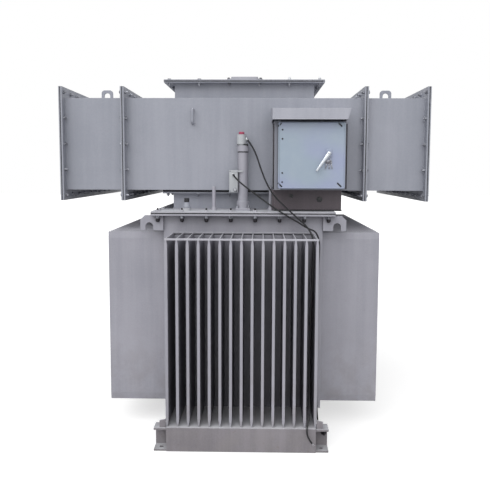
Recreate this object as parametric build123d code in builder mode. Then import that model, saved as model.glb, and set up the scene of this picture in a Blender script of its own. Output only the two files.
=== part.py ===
from build123d import *
import os
from math import pi, radians, tan

os.makedirs("parts", exist_ok=True)

# Tank: a welded box whose four walls carry pressed cooling fins
tank_width = 716
tank_length = 1480
tank_wall = 4
base_height = 100
floor_thickness = 4
wall_height = 886
fin_pitch = 45
fin_depth = 265
fin_thickness = 12
fin_pinch = 4
fin_pinch_length = 30
fin_top_margin = 80
side_fin_lift = 12
end_fin_margin = 43
side_fin_margin = 65
fin_bar = 8

# Lid joint: tank flange, gasket and lid share one outline
lid_overhang = 54
lid_corner_radius = 18
lid_flange_thickness = 8
lid_gasket_thickness = 5
lid_gasket_width = 40
lid_thickness = 5

# Lifting lugs at the tank corners
lug_reach = 104
lug_thickness = 15
lug_drop = 68
lug_chamfer = 20
lug_notch_radius = 17
lug_notch_height = 36
lug_notch_inset = 41

# Base: two cross channels, two rails between them and an apron plate at each end
channel_overhang = 54
channel_flange = 72
channel_thickness = 8
base_front_margin = 8
apron_margin = 3
apron_thickness = 5
rail_inset = 108
rail_width = 75
anchor_hole_radius = 9
anchor_hole_inset = 30
gusset_width = 26
gusset_height = 36
gusset_low_height = 30
gusset_thickness = 8
gusset_clearance = 1
gusset_setback = 14

# Terminal duct: three flanged boxes end to end across the top
duct_setback = 124
duct_height = 422
duct_wall = 5
duct_joint_span = 1110
duct_span = 1690
duct_flange = 48
duct_flange_thickness = 7
duct_gasket_thickness = 4
duct_cover_thickness = 5

# Neck between lid and duct, and throat above the duct
neck_height = 82
neck_side_inset = 21
neck_end_inset = 71
neck_wall = 5
neck_flange = 45
neck_flange_thickness = 7
neck_gasket_thickness = 10
throat_width = 650
throat_end_inset = 51
throat_wall = 5
throat_height = 85
throat_flange = 45
throat_flange_thickness = 5
throat_gasket_thickness = 3
throat_cover_thickness = 6
hand_hole_width = 127
hand_hole_length = 160
hand_hole_height = 22
hand_hole_setback = 75
hand_hole_corner = 12

# Lifting loops on the outer duct boxes
loop_width = 58
loop_height = 76
loop_thickness = 10
loop_corner = 16
loop_hole_width = 30
loop_hole_height = 47
loop_hole_top_gap = 14
loop_shift = 12
loop_spacing = 480

# Grab handle on the duct face
grab_joint_gap = 319
grab_top_gap = 84
grab_height = 74
grab_rod = 12
grab_standoff = 34

# Control box on the duct face, right of the middle
box_joint_gap = 104
box_rise = 6
box_width = 314
box_height = 302
box_depth = 166
box_wall = 2.5
box_rim = 16
door_width = 293
door_height_margin = 12
door_thickness = 14
door_shift = 6
door_lift = 6
door_gap = 6.5
door_corner_radius = 9
door_skin = 3
pivot_inset = 5
pivot_radius = 2.5
pivot_clearance = 0.3
pivot_length = 16
pivot_tab = 12
pivot_tab_thickness = 4
pivot_tab_gap = 1.5
hood_width = 341
hood_shift = 3.5
hood_depth = 232
hood_front_height = 47
hood_back_height = 65
hood_sheet = 2.5
hood_gap = 8
hood_slant = 17
plinth_depth = 64
plinth_wall_inset = 5
plinth_gasket_thickness = 6
plinth_gasket_margin = 2

# Swing handle on the door, stored part way through its turn
handle_inset = 72
handle_rise = 155
handle_length = 96
handle_width = 13
handle_end_width = 8
handle_thickness = 7
handle_standoff = 7
handle_angle = 35
lock_width = 24
lock_height = 36
lock_thickness = 6
spindle_radius = 6
spindle_clearance = 0.3
spindle_depth = 7

# Riser pipe with its head, and the small fittings on the lid
riser_post_gap = 127
riser_setback = 80
riser_radius = 22.5
riser_height = 269
riser_foot_width = 66
riser_foot_thickness = 12
riser_step_radius = 28
riser_step_height = 32
collar_radius = 26.5
collar_height = 27
head_shift = 7
head_neck_radius = 14
head_neck_height = 6
head_radius = 21
head_height = 44
head_gland_drop = 11
head_gland_angle = 50
gland_radius = 6
gland_length = 12
plug_radius = 13
plug_height = 12
junction_width = 40
junction_height = 102
junction_depth = 46
junction_rise = 83
junction_gland_drop = 22
post_plinth_gap = 18
post_spacing = 261
post_setback = 85
post_radius = 8
post_height = 109
post_foot_radius = 15
post_foot_height = 16
breather_post_gap = 123
breather_setback = 60
breather_base_radius = 18
breather_base_height = 13
breather_ring_radius = 20
breather_ring_height = 5
breather_cone_height = 20
breather_cap_radius = 12
breather_cap_height = 19

# Loose cables: each arc takes up this share of its shorter run
cable_diameter = 7
cable_exit_run = 33
arc_share = 0.45

# Places worked out from the sizes, upwards from the ground
front_y = -tank_length / 2
floor_top = base_height + floor_thickness
wall_top = floor_top + wall_height
fin_top = wall_top - fin_top_margin
gasket_bottom = wall_top + lid_flange_thickness
lid_bottom = gasket_bottom + lid_gasket_thickness
lid_top = lid_bottom + lid_thickness
duct_bottom = lid_top + neck_height + neck_gasket_thickness
duct_top = duct_bottom + duct_height
throat_top = duct_top + throat_height

# Fins fill the tank's width and length at their pitch
end_fin_count = round((tank_width - 2 * end_fin_margin) / fin_pitch) + 1
side_fin_count = round((tank_length - 2 * side_fin_margin) / fin_pitch) + 1
end_fin_span = (end_fin_count - 1) * fin_pitch

# Places worked out across and along the object
base_front = -front_y + fin_depth + base_front_margin
apron_width = end_fin_span + 2 * apron_margin
channel_length = apron_width + 2 * channel_overhang
rail_spacing = tank_width - 2 * rail_inset
duct_half_depth = tank_length / 2 - duct_setback
duct_front = -duct_half_depth
duct_depth = 2 * duct_half_depth
joint_x = duct_joint_span / 2
end_x = duct_span / 2
box_x = joint_x - box_joint_gap - box_width / 2
box_bottom = duct_bottom + box_rise
door_back = duct_front - box_depth - door_gap
door_front = door_back - door_thickness
door_x = box_x + door_shift
door_height = box_height - door_height_margin
door_bottom = box_bottom + door_lift
door_top = door_bottom + door_height
pivot_x = door_x - door_width / 2 + pivot_inset
pivot_y = door_front + pivot_inset
plinth_width = box_width - 2 * plinth_wall_inset
post_x_right = box_x - plinth_width / 2 - post_plinth_gap
post_x_left = post_x_right - post_spacing
riser_x = post_x_right - riser_post_gap
riser_y = front_y + riser_setback


def write_piece(builder, name):
    builder.part.label = name
    export_step(builder.part, f"parts/{name}.step")
    print(name, round(builder.part.volume))


def wall_plane(side):
    """Plane on a tank wall's outer face: local x runs along the wall, local y is up"""
    outward = {"front": (0, -1, 0), "back": (0, 1, 0), "left": (-1, 0, 0), "right": (1, 0, 0)}[side]
    along = (-outward[1], outward[0], 0)
    half = tank_length / 2 if outward[1] else tank_width / 2
    return Plane(origin=(outward[0] * half, outward[1] * half, 0), x_dir=along, z_dir=outward)


def tie_bar(turn, mode=Mode.ADD):
    """Square bar across the fin tips of one end, let into their top corners"""
    with Locations((0, turn * (fin_depth - front_y - fin_bar / 2), fin_top)):
        Box(
            end_fin_span + fin_thickness,
            fin_bar,
            fin_bar,
            align=(Align.CENTER, Align.CENTER, Align.MAX),
            mode=mode,
        )


def corrugated_wall(side):
    """Flat sheet with pressed fins, pinched shut at both ends of each fin"""
    end_wall = side in ("front", "back")
    sheet_width = tank_width if end_wall else tank_length - 2 * tank_wall
    count = end_fin_count if end_wall else side_fin_count
    bottom = floor_top if end_wall else floor_top + side_fin_lift
    half = fin_thickness / 2
    pinched = fin_pinch / 2
    outline = [
        (-pinched, bottom),
        (pinched, bottom),
        (half, bottom + fin_pinch_length),
        (half, fin_top - fin_pinch_length),
        (pinched, fin_top),
        (-pinched, fin_top),
        (-half, fin_top - fin_pinch_length),
        (-half, bottom + fin_pinch_length),
    ]
    with BuildPart() as panel:
        with BuildSketch(wall_plane(side)):
            with Locations((0, (floor_top + wall_top) / 2)):
                Rectangle(sheet_width, wall_top - floor_top)
        extrude(amount=-tank_wall)
        with BuildSketch(wall_plane(side)):
            with GridLocations(fin_pitch, 0, count, 1):
                Polygon(*outline, align=None)
        extrude(amount=fin_depth)
        if end_wall:
            tie_bar(-1 if side == "front" else 1, Mode.SUBTRACT)
    return panel


for side in ("front", "back", "left", "right"):
    write_piece(corrugated_wall(side), f"corrugated_wall_{side}")

# Floor plate of the tank, with a tongue under the fins at each end
with BuildPart() as tank_floor:
    with BuildSketch(Plane.XY.offset(base_height)):
        Rectangle(tank_width, tank_length)
        Rectangle(apron_width, 2 * base_front)
    extrude(amount=floor_thickness)
write_piece(tank_floor, "tank_floor")

# Bars that tie the fin tips together, at the top of each end
with BuildPart() as fin_bars:
    tie_bar(-1)
    tie_bar(1)
write_piece(fin_bars, "fin_bars")


def lid_outline(inner_margin=0):
    """Rounded rectangle of the lid joint, with a window when a margin is given"""
    width = tank_width + 2 * lid_overhang
    length = tank_length + 2 * lid_overhang
    RectangleRounded(width, length, lid_corner_radius)
    if inner_margin:
        Rectangle(width - 2 * inner_margin, length - 2 * inner_margin, mode=Mode.SUBTRACT)


with BuildPart() as tank_flange:
    with BuildSketch(Plane.XY.offset(wall_top)):
        lid_outline(lid_overhang + tank_wall)
    extrude(amount=lid_flange_thickness)
write_piece(tank_flange, "tank_flange")

with BuildPart() as lid_gasket:
    with BuildSketch(Plane.XY.offset(gasket_bottom)):
        lid_outline(lid_gasket_width)
    extrude(amount=lid_gasket_thickness)
write_piece(lid_gasket, "lid_gasket")

with BuildPart() as lid:
    with BuildSketch(Plane.XY.offset(lid_bottom)):
        lid_outline()
    extrude(amount=lid_thickness)
write_piece(lid, "lid")

# Lifting lugs: one plate at each tank corner, notched from below for a shackle
lug_bottom = wall_top - lug_drop
lug_root = tank_width / 2
lug_tip = lug_root + lug_reach
notch_x = lug_tip - lug_notch_inset
with BuildPart() as lifting_lugs:
    for turn in (-1, 1):
        with BuildSketch(Plane.XZ.offset(turn * front_y + (lug_thickness if turn == 1 else 0))):
            with BuildLine():
                Polyline(
                    (lug_root, lug_bottom),
                    (lug_tip, lug_bottom),
                    (lug_tip, wall_top - lug_chamfer),
                    (lug_tip - lug_chamfer, wall_top),
                    (lug_root, wall_top),
                    close=True,
                )
            make_face()
            with Locations((notch_x, lug_bottom)):
                SlotCenterToCenter(
                    2 * (lug_notch_height - lug_notch_radius),
                    2 * lug_notch_radius,
                    rotation=90,
                    mode=Mode.SUBTRACT,
                )
            mirror(about=Plane.YZ)
        extrude(amount=lug_thickness)
write_piece(lifting_lugs, "tank_lifting_lugs")


def base_channel(turn):
    """Cross channel that opens outwards, with anchor holes and a gusset at each end"""
    web_y = base_front - channel_flange
    lip = base_height - channel_thickness
    gusset_root = (end_fin_span + fin_thickness) / 2 + gusset_clearance
    gusset_tip = gusset_root + gusset_width
    with BuildPart() as channel:
        with BuildSketch(Plane.YZ.offset(-channel_length / 2)):
            with BuildLine():
                Polyline(
                    (turn * web_y, 0),
                    (turn * base_front, 0),
                    (turn * base_front, channel_thickness),
                    (turn * (web_y + channel_thickness), channel_thickness),
                    (turn * (web_y + channel_thickness), lip),
                    (turn * base_front, lip),
                    (turn * base_front, base_height),
                    (turn * web_y, base_height),
                    close=True,
                )
            make_face()
        extrude(amount=channel_length)
        with BuildSketch(Plane.XY):
            with GridLocations(anchor_spacing_x, anchor_spacing_y, 2, 2):
                Circle(anchor_hole_radius)
        extrude(amount=channel_thickness, mode=Mode.SUBTRACT)
        with BuildSketch(Plane.XZ.offset(-turn * (base_front - gusset_setback))):
            with BuildLine():
                Polyline(
                    (gusset_root, base_height),
                    (gusset_tip, base_height),
                    (gusset_tip, base_height + gusset_low_height),
                    (gusset_root, base_height + gusset_height),
                    close=True,
                )
            make_face()
            mirror(about=Plane.YZ)
        extrude(amount=gusset_thickness / 2, both=True)
    return channel


anchor_spacing_x = channel_length - 2 * anchor_hole_inset
anchor_spacing_y = 2 * (base_front - anchor_hole_inset)
write_piece(base_channel(-1), "base_channel_front")
write_piece(base_channel(1), "base_channel_back")

for side, turn in (("front", -1), ("back", 1)):
    with BuildPart() as apron:
        with Locations((0, turn * (base_front + apron_thickness / 2), 0)):
            Box(apron_width, apron_thickness, floor_top, align=(Align.CENTER, Align.CENTER, Align.MIN))
    write_piece(apron, f"apron_{side}")

# Rails under the tank: two channels from one cross channel's web to the other's
with BuildPart() as base_rails:
    with BuildSketch(Plane.XZ):
        with BuildLine():
            Polyline(
                (rail_spacing / 2, 0),
                (rail_spacing / 2 + rail_width, 0),
                (rail_spacing / 2 + rail_width, channel_thickness),
                (rail_spacing / 2 + channel_thickness, channel_thickness),
                (rail_spacing / 2 + channel_thickness, base_height - channel_thickness),
                (rail_spacing / 2 + rail_width, base_height - channel_thickness),
                (rail_spacing / 2 + rail_width, base_height),
                (rail_spacing / 2, base_height),
                close=True,
            )
        make_face()
        mirror(about=Plane.YZ)
    extrude(amount=base_front - channel_flange, both=True)
write_piece(base_rails, "base_rails")


def frame_face(width, length, margin):
    """Flat rectangular ring, such as a flange or gasket: margin is its band width"""
    Rectangle(width, length)
    Rectangle(width - 2 * margin, length - 2 * margin, mode=Mode.SUBTRACT)


# Neck: a square trunk welded to the lid, with a flange under the duct
neck_width = tank_width - 2 * neck_side_inset
neck_length = duct_depth - 2 * neck_end_inset
neck_gasket_bottom = duct_bottom - neck_gasket_thickness
neck_flange_bottom = neck_gasket_bottom - neck_flange_thickness
with BuildPart() as neck:
    with BuildSketch(Plane.XY.offset(lid_top)):
        frame_face(neck_width, neck_length, neck_wall)
    extrude(amount=neck_gasket_bottom - lid_top)
    with BuildSketch(Plane.XY.offset(neck_flange_bottom)):
        frame_face(neck_width + 2 * neck_flange, neck_length + 2 * neck_flange, neck_flange + neck_wall)
    extrude(amount=neck_flange_thickness)
write_piece(neck, "neck")

with BuildPart() as neck_gasket:
    with BuildSketch(Plane.XY.offset(neck_gasket_bottom)):
        frame_face(neck_width + 2 * neck_flange, neck_length + 2 * neck_flange, neck_flange + neck_wall)
    extrude(amount=neck_gasket_thickness)
write_piece(neck_gasket, "neck_gasket")

# Duct boxes: sheet trunks along X with a flange at each joint
duct_middle_z = duct_bottom + duct_height / 2


def duct_box(start, stop):
    """Rectangular trunk between two planes of X, flanged at both ends"""
    with BuildPart() as trunk:
        with BuildSketch(Plane.YZ.offset(start)):
            with Locations((0, duct_middle_z)):
                frame_face(duct_depth, duct_height, duct_wall)
        extrude(amount=stop - start)
        for face in (start, stop - duct_flange_thickness):
            with BuildSketch(Plane.YZ.offset(face)):
                with Locations((0, duct_middle_z)):
                    frame_face(
                        duct_depth + 2 * duct_flange, duct_height + 2 * duct_flange, duct_flange + duct_wall
                    )
            extrude(amount=duct_flange_thickness)
    return trunk


gasket_half = duct_gasket_thickness / 2
box_end = end_x - duct_cover_thickness - duct_gasket_thickness
write_piece(duct_box(-joint_x + gasket_half, joint_x - gasket_half), "duct_middle")
write_piece(duct_box(-box_end, -joint_x - gasket_half), "duct_left")
write_piece(duct_box(joint_x + gasket_half, box_end), "duct_right")

with BuildPart() as duct_gaskets:
    for start in (-joint_x - gasket_half, joint_x - gasket_half, -box_end - duct_gasket_thickness, box_end):
        with BuildSketch(Plane.YZ.offset(start)):
            with Locations((0, duct_middle_z)):
                frame_face(
                    duct_depth + 2 * duct_flange, duct_height + 2 * duct_flange, duct_flange + duct_wall
                )
        extrude(amount=duct_gasket_thickness)
write_piece(duct_gaskets, "duct_gaskets")

for side, start in (("left", -end_x), ("right", end_x - duct_cover_thickness)):
    with BuildPart() as duct_cover:
        with BuildSketch(Plane.YZ.offset(start)):
            with Locations((0, duct_middle_z)):
                Rectangle(duct_depth + 2 * duct_flange, duct_height + 2 * duct_flange)
        extrude(amount=duct_cover_thickness)
    write_piece(duct_cover, f"duct_cover_{side}")

# Throat: the flanged opening on top of the duct, closed with a cover
throat_length = duct_depth - 2 * throat_end_inset
cover_bottom = throat_top - throat_cover_thickness
throat_gasket_bottom = cover_bottom - throat_gasket_thickness
throat_rim_width = throat_width + 2 * throat_flange
throat_rim_length = throat_length + 2 * throat_flange
with BuildPart() as throat:
    with BuildSketch(Plane.XY.offset(duct_top)):
        frame_face(throat_width, throat_length, throat_wall)
    extrude(amount=throat_gasket_bottom - duct_top)
    with BuildSketch(Plane.XY.offset(throat_gasket_bottom - throat_flange_thickness)):
        frame_face(throat_rim_width, throat_rim_length, throat_flange + throat_wall)
    extrude(amount=throat_flange_thickness)
write_piece(throat, "throat")

with BuildPart() as throat_gasket:
    with BuildSketch(Plane.XY.offset(throat_gasket_bottom)):
        frame_face(throat_rim_width, throat_rim_length, throat_flange + throat_wall)
    extrude(amount=throat_gasket_thickness)
write_piece(throat_gasket, "throat_gasket")

with BuildPart() as throat_cover:
    with BuildSketch(Plane.XY.offset(cover_bottom)):
        Rectangle(throat_rim_width, throat_rim_length)
    extrude(amount=throat_cover_thickness)
write_piece(throat_cover, "throat_cover")

hand_hole_y = -throat_rim_length / 2 + hand_hole_setback + hand_hole_length / 2
with BuildPart() as hand_hole_cover:
    with BuildSketch(Plane.XY.offset(throat_top)):
        with Locations((0, hand_hole_y)):
            RectangleRounded(hand_hole_width, hand_hole_length, hand_hole_corner)
    extrude(amount=hand_hole_height)
write_piece(hand_hole_cover, "hand_hole_cover")

# Lifting loops: upright plates with rounded corners and a slot for a shackle
loop_x = (joint_x + end_x) / 2 + loop_shift
loop_hole_z = duct_top + loop_height - loop_hole_top_gap - loop_hole_height / 2
with BuildPart() as duct_loops:
    for loop_y in (-loop_spacing / 2, loop_spacing / 2):
        with BuildSketch(Plane.XZ.offset(-loop_y)) as loop_plate:
            with Locations((loop_x, duct_top)):
                Rectangle(loop_width, loop_height, align=(Align.CENTER, Align.MIN))
            fillet(loop_plate.vertices().group_by(Axis.Y)[-1], radius=loop_corner)
            with Locations((loop_x, loop_hole_z)):
                SlotOverall(loop_hole_height, loop_hole_width, rotation=90, mode=Mode.SUBTRACT)
            mirror(about=Plane.YZ)
        extrude(amount=loop_thickness / 2, both=True)
write_piece(duct_loops, "duct_lifting_loops")

# Grab handle: a bent rod welded to the duct face
grab_x = grab_joint_gap - joint_x
grab_z = duct_top - grab_top_gap
with BuildPart() as grab_handle:
    rod_reach = grab_standoff - grab_rod / 2
    rod_half = (grab_height - grab_rod) / 2
    with BuildLine() as rod_path:
        FilletPolyline(
            (grab_x, duct_front, grab_z - rod_half),
            (grab_x, duct_front - rod_reach, grab_z - rod_half),
            (grab_x, duct_front - rod_reach, grab_z + rod_half),
            (grab_x, duct_front, grab_z + rod_half),
            radius=grab_rod,
        )
    with BuildSketch(Plane(origin=rod_path.line @ 0, z_dir=rod_path.line % 0)):
        Circle(grab_rod / 2)
    sweep(path=rod_path.line)
write_piece(grab_handle, "grab_handle")

# Control box: a hollow body with a rim around its mouth
box_front = duct_front - box_depth
box_top = box_bottom + box_height
box_middle_z = box_bottom + box_height / 2
door_middle_z = door_bottom + door_height / 2
with BuildPart() as control_box:
    with BuildSketch(Plane.XZ.offset(-duct_front)):
        with Locations((box_x, box_middle_z)):
            Rectangle(box_width, box_height)
    extrude(amount=box_depth)
    with BuildSketch(Plane.XZ.offset(-duct_front + box_wall)):
        with Locations((box_x, box_middle_z)):
            Rectangle(box_width - 2 * box_wall, box_height - 2 * box_wall)
    extrude(amount=box_depth - 2 * box_wall, mode=Mode.SUBTRACT)
    with BuildSketch(Plane.XZ.offset(-box_front)):
        with Locations((box_x, box_middle_z)):
            Rectangle(box_width - 2 * box_rim, box_height - 2 * box_rim)
    extrude(amount=-box_wall, mode=Mode.SUBTRACT)
    tab_reach = box_front - pivot_y + pivot_tab / 2
    for tab_bottom, pin_bottom in (
        (door_top + pivot_tab_gap, door_top - pivot_length),
        (door_bottom - pivot_tab_gap - pivot_tab_thickness, door_bottom - pivot_tab_gap),
    ):
        with Locations((pivot_x, box_front, tab_bottom)):
            Box(pivot_tab, tab_reach, pivot_tab_thickness, align=(Align.CENTER, Align.MAX, Align.MIN))
        with Locations((pivot_x, pivot_y, pin_bottom)):
            Cylinder(
                pivot_radius,
                pivot_length + pivot_tab_gap,
                align=(Align.CENTER, Align.CENTER, Align.MIN),
            )
write_piece(control_box, "control_box")

# Door: a shallow tray with folded edges, hung on the two pivot pins
handle_plane = Plane(
    origin=(door_x + door_width / 2 - handle_inset, door_front, door_bottom + handle_rise),
    x_dir=(1, 0, 0),
    z_dir=(0, -1, 0),
)
with BuildPart() as door:
    with BuildSketch(Plane.XZ.offset(-door_back)):
        with Locations((door_x, door_middle_z)):
            RectangleRounded(door_width, door_height, door_corner_radius)
    extrude(amount=door_thickness)
    for hole_bottom in (door_bottom, door_top - pivot_length):
        with Locations((pivot_x, pivot_y, hole_bottom)):
            Cylinder(
                pivot_radius + pivot_clearance,
                pivot_length,
                align=(Align.CENTER, Align.CENTER, Align.MIN),
                mode=Mode.SUBTRACT,
            )
    with BuildSketch(handle_plane):
        Rectangle(lock_width, lock_height)
    extrude(amount=lock_thickness)
    with BuildSketch(handle_plane.offset(lock_thickness - spindle_depth)):
        Circle(spindle_radius + spindle_clearance)
    extrude(amount=spindle_depth, mode=Mode.SUBTRACT)
write_piece(door, "control_box_door")

# Swing handle: a tapered bar on a spindle that turns in the lock body
turned_plane = Plane(
    origin=handle_plane.origin,
    x_dir=Vector(1, 0, 0).rotate(Axis.Y, handle_angle),
    z_dir=handle_plane.z_dir,
)
handle_back = lock_thickness + handle_standoff
with BuildPart() as handle:
    with BuildSketch(turned_plane.offset(lock_thickness - spindle_depth)):
        Circle(spindle_radius)
    extrude(amount=handle_back - lock_thickness + spindle_depth)
    with BuildSketch(turned_plane.offset(handle_back)):
        Circle(handle_width / 2)
        with BuildLine():
            Polyline(
                (-handle_width / 2, 0),
                (-handle_end_width / 2, -handle_length),
                (handle_end_width / 2, -handle_length),
                (handle_width / 2, 0),
                close=True,
            )
        make_face()
    extrude(amount=handle_thickness)
write_piece(handle, "door_handle")

# Rain hood: a folded sheet with two cheeks, the right one slanted, open below and at the back
hood_bottom = door_top + hood_gap
hood_front_y = duct_front - hood_depth


def hood_solid(inset):
    """The hood's outside, or with an inset its hollow: a front view cut to the side view"""
    left = box_x + hood_shift - hood_width / 2 + inset
    right = box_x + hood_shift + hood_width / 2 - inset
    front_top = hood_bottom + hood_front_height - inset
    back_top = hood_bottom + hood_back_height - inset
    with BuildPart() as block:
        with BuildSketch(Plane.XZ.offset(-duct_front)):
            Polygon(
                (left, hood_bottom),
                (right - hood_slant, hood_bottom),
                (right, back_top),
                (left, back_top),
                align=None,
            )
        extrude(amount=hood_depth - inset)
        with BuildSketch(Plane.YZ.offset(left)):
            Polygon(
                (duct_front, hood_bottom),
                (hood_front_y + inset, hood_bottom),
                (hood_front_y + inset, front_top),
                (duct_front, back_top),
                align=None,
            )
        extrude(amount=right - left, mode=Mode.INTERSECT)
    return block.part


with BuildPart() as box_hood:
    add(hood_solid(0))
    add(hood_solid(hood_sheet), mode=Mode.SUBTRACT)
write_piece(box_hood, "box_hood")

# Cable housing that stands on the lid on a gasket and carries the control box
with BuildPart() as box_plinth:
    with Locations((box_x, duct_front, lid_top + plinth_gasket_thickness)):
        Box(
            plinth_width,
            plinth_depth,
            box_bottom - lid_top - plinth_gasket_thickness,
            align=(Align.CENTER, Align.MAX, Align.MIN),
        )
write_piece(box_plinth, "box_plinth")

with BuildPart() as plinth_gasket:
    with Locations((box_x, duct_front, lid_top)):
        Box(
            plinth_width + 2 * plinth_gasket_margin,
            plinth_depth + plinth_gasket_margin,
            plinth_gasket_thickness,
            align=(Align.CENTER, Align.MAX, Align.MIN),
        )
write_piece(plinth_gasket, "plinth_gasket")

# Riser: a pipe on a square foot, with a collar and a capped head
with BuildPart() as riser_pipe:
    with BuildSketch(Plane.XY.offset(lid_top)):
        with Locations((riser_x, riser_y)):
            Rectangle(riser_foot_width, riser_foot_width)
    extrude(amount=riser_foot_thickness)
    with BuildSketch(Plane.XY.offset(lid_top + riser_foot_thickness)):
        with Locations((riser_x, riser_y)):
            Circle(riser_step_radius)
    extrude(amount=riser_step_height)
    with BuildSketch(Plane.XY.offset(lid_top)):
        with Locations((riser_x, riser_y)):
            Circle(riser_radius)
    extrude(amount=riser_height)
write_piece(riser_pipe, "riser_pipe")

riser_top = lid_top + riser_height
with BuildPart() as riser_collar:
    with BuildSketch(Plane.XY.offset(riser_top)):
        with Locations((riser_x, riser_y)):
            Circle(collar_radius)
    extrude(amount=collar_height)
write_piece(riser_collar, "riser_collar")

head_x = riser_x - head_shift
head_bottom = riser_top + collar_height + head_neck_height
head_top = head_bottom + head_height
head_gland_plane = Plane(
    origin=(head_x + head_radius - gland_radius, riser_y, head_top - head_gland_drop),
    x_dir=(0, 1, 0),
    z_dir=Vector(1, 0, 0).rotate(Axis.Y, head_gland_angle),
)
with BuildPart() as riser_head:
    with BuildSketch(Plane.XY.offset(riser_top + collar_height)):
        with Locations((head_x, riser_y)):
            Circle(head_neck_radius)
    extrude(amount=head_neck_height)
    with BuildSketch(Plane.XY.offset(head_bottom)):
        with Locations((head_x, riser_y)):
            Circle(head_radius)
    extrude(amount=head_height)
    with BuildSketch(head_gland_plane):
        Circle(gland_radius)
    extrude(amount=gland_radius + gland_length)
write_piece(riser_head, "riser_head")

with BuildPart() as head_plug:
    with BuildSketch(Plane.XY.offset(head_top)):
        with Locations((head_x, riser_y)):
            Circle(plug_radius)
    extrude(amount=plug_height)
write_piece(head_plug, "riser_head_plug")

junction_x = riser_x - riser_radius - junction_width / 2
junction_bottom = lid_top + junction_rise
junction_gland_z = junction_bottom + junction_height - junction_gland_drop
junction_gland_plane = Plane(
    origin=(junction_x, riser_y - junction_depth / 2, junction_gland_z),
    x_dir=(1, 0, 0),
    z_dir=(0, -1, 0),
)
with BuildPart() as junction_box:
    with Locations((junction_x, riser_y, junction_bottom)):
        Box(
            junction_width,
            junction_depth,
            junction_height,
            align=(Align.CENTER, Align.CENTER, Align.MIN),
        )
    with BuildSketch(junction_gland_plane):
        Circle(gland_radius)
    extrude(amount=gland_length)
write_piece(junction_box, "junction_box")


def loose_cable(start_plane, reach, places):
    """Tube of straight runs and arcs that leaves a gland along its axis"""
    exits = [start_plane.offset(reach).origin, start_plane.offset(reach + cable_exit_run).origin]
    points = exits + [Vector(*place) for place in places]
    radii = []
    for before, corner, after in zip(points, points[1:], points[2:]):
        turn = radians((corner - before).get_angle(after - corner))
        run = min((corner - before).length, (after - corner).length)
        radii.append(arc_share * run / tan(turn / 2))
    with BuildPart() as tube:
        with BuildLine() as route:
            FilletPolyline(*points, radius=radii)
        centre_line = route.wires()[0]
        with BuildSketch(Plane(origin=centre_line @ 0, z_dir=centre_line % 0)):
            Circle(cable_diameter / 2)
        sweep(path=centre_line)
    straight_volume = centre_line.length * pi * (cable_diameter / 2) ** 2
    print("radii", [round(radius) for radius in radii])
    print("length", round(centre_line.length), "volume share", round(tube.part.volume / straight_volume, 4))
    return tube


# From the riser head over the lid, down between the last two fins and over the apron
head_cable_places = [
    (59, -675, 1259),
    (80, -692, 1194),
    (107, -717, 1127),
    (142, -756, 1073),
    (188, -814, 1031),
    (238, -882, 987),
    (279, -938, 950),
    (297, -965, 898),
    (299, -973, 820),
    (297, -969, 730),
    (294, -963, 637),
    (291, -960, 542),
    (289, -960, 447),
    (289, -962, 352),
    (290, -967, 260),
    (291, -978, 186),
    (287, -1005, 142),
    (278, -1027, 110),
    (281, -1031, 72),
    (301, -1032, 47),
]

# From the junction box over the lid and down outside the last fin, to a bare end
junction_cable_places = [
    (-27, -752, 1150),
    (8, -769, 1121),
    (50, -778, 1091),
    (96, -786, 1057),
    (145, -800, 1023),
    (196, -815, 993),
    (248, -821, 963),
    (293, -819, 938),
    (322, -813, 919),
    (335, -807, 872),
    (337, -802, 800),
    (335, -799, 712),
    (332, -799, 630),
    (330, -801, 552),
    (330, -804, 470),
    (333, -807, 378),
    (335, -808, 286),
    (335, -806, 200),
    (337, -803, 126),
    (343, -800, 66),
]
write_piece(loose_cable(head_gland_plane, gland_radius + gland_length, head_cable_places), "cable_from_head")
write_piece(loose_cable(junction_gland_plane, gland_length, junction_cable_places), "cable_from_junction")

# Two slender posts with flared feet
post_y = front_y + post_setback
with BuildPart() as lid_posts:
    for post_x in (post_x_left, post_x_right):
        with BuildSketch(Plane.XZ.offset(-post_y)):
            with BuildLine():
                Polyline(
                    (post_x, lid_top),
                    (post_x + post_foot_radius, lid_top),
                    (post_x + post_radius, lid_top + post_foot_height),
                    (post_x + post_radius, lid_top + post_height),
                    (post_x, lid_top + post_height),
                    close=True,
                )
            make_face()
        revolve(axis=Axis((post_x, post_y, 0), (0, 0, 1)))
write_piece(lid_posts, "lid_posts")

# Breather: a white base, a ring, a cone and a dark cap
breather_x = post_x_left - breather_post_gap
breather_y = front_y + breather_setback
breather_ring_z = lid_top + breather_base_height
breather_cone_z = breather_ring_z + breather_ring_height
breather_cap_z = breather_cone_z + breather_cone_height
with BuildPart() as breather_base:
    with BuildSketch(Plane.XY.offset(lid_top)):
        with Locations((breather_x, breather_y)):
            Circle(breather_base_radius)
    extrude(amount=breather_base_height)
write_piece(breather_base, "breather_base")

with BuildPart() as breather_cap:
    with BuildSketch(Plane.XZ.offset(-breather_y)):
        with BuildLine():
            Polyline(
                (breather_x, breather_ring_z),
                (breather_x + breather_ring_radius, breather_ring_z),
                (breather_x + breather_ring_radius, breather_cone_z),
                (breather_x + breather_base_radius, breather_cone_z),
                (breather_x + breather_cap_radius, breather_cap_z),
                (breather_x + breather_cap_radius, breather_cap_z + breather_cap_height),
                (breather_x, breather_cap_z + breather_cap_height),
                close=True,
            )
        make_face()
    revolve(axis=Axis((breather_x, breather_y, 0), (0, 0, 1)))
write_piece(breather_cap, "breather_cap")
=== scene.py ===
# %% [markdown]
# # A power transformer in its grey machine paint
# The solids of the transformer come packed from its CAD source. This lesson dresses them: it
# lights them, paints them, and adds what is too small or too often repeated for a solid, such as
# bolts, welds, screws and cable glands. Every length is in metres, and the ground is at height
# zero.

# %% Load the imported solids
import math

import bmesh
import bpy
from mathutils import Matrix, Vector


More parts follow.
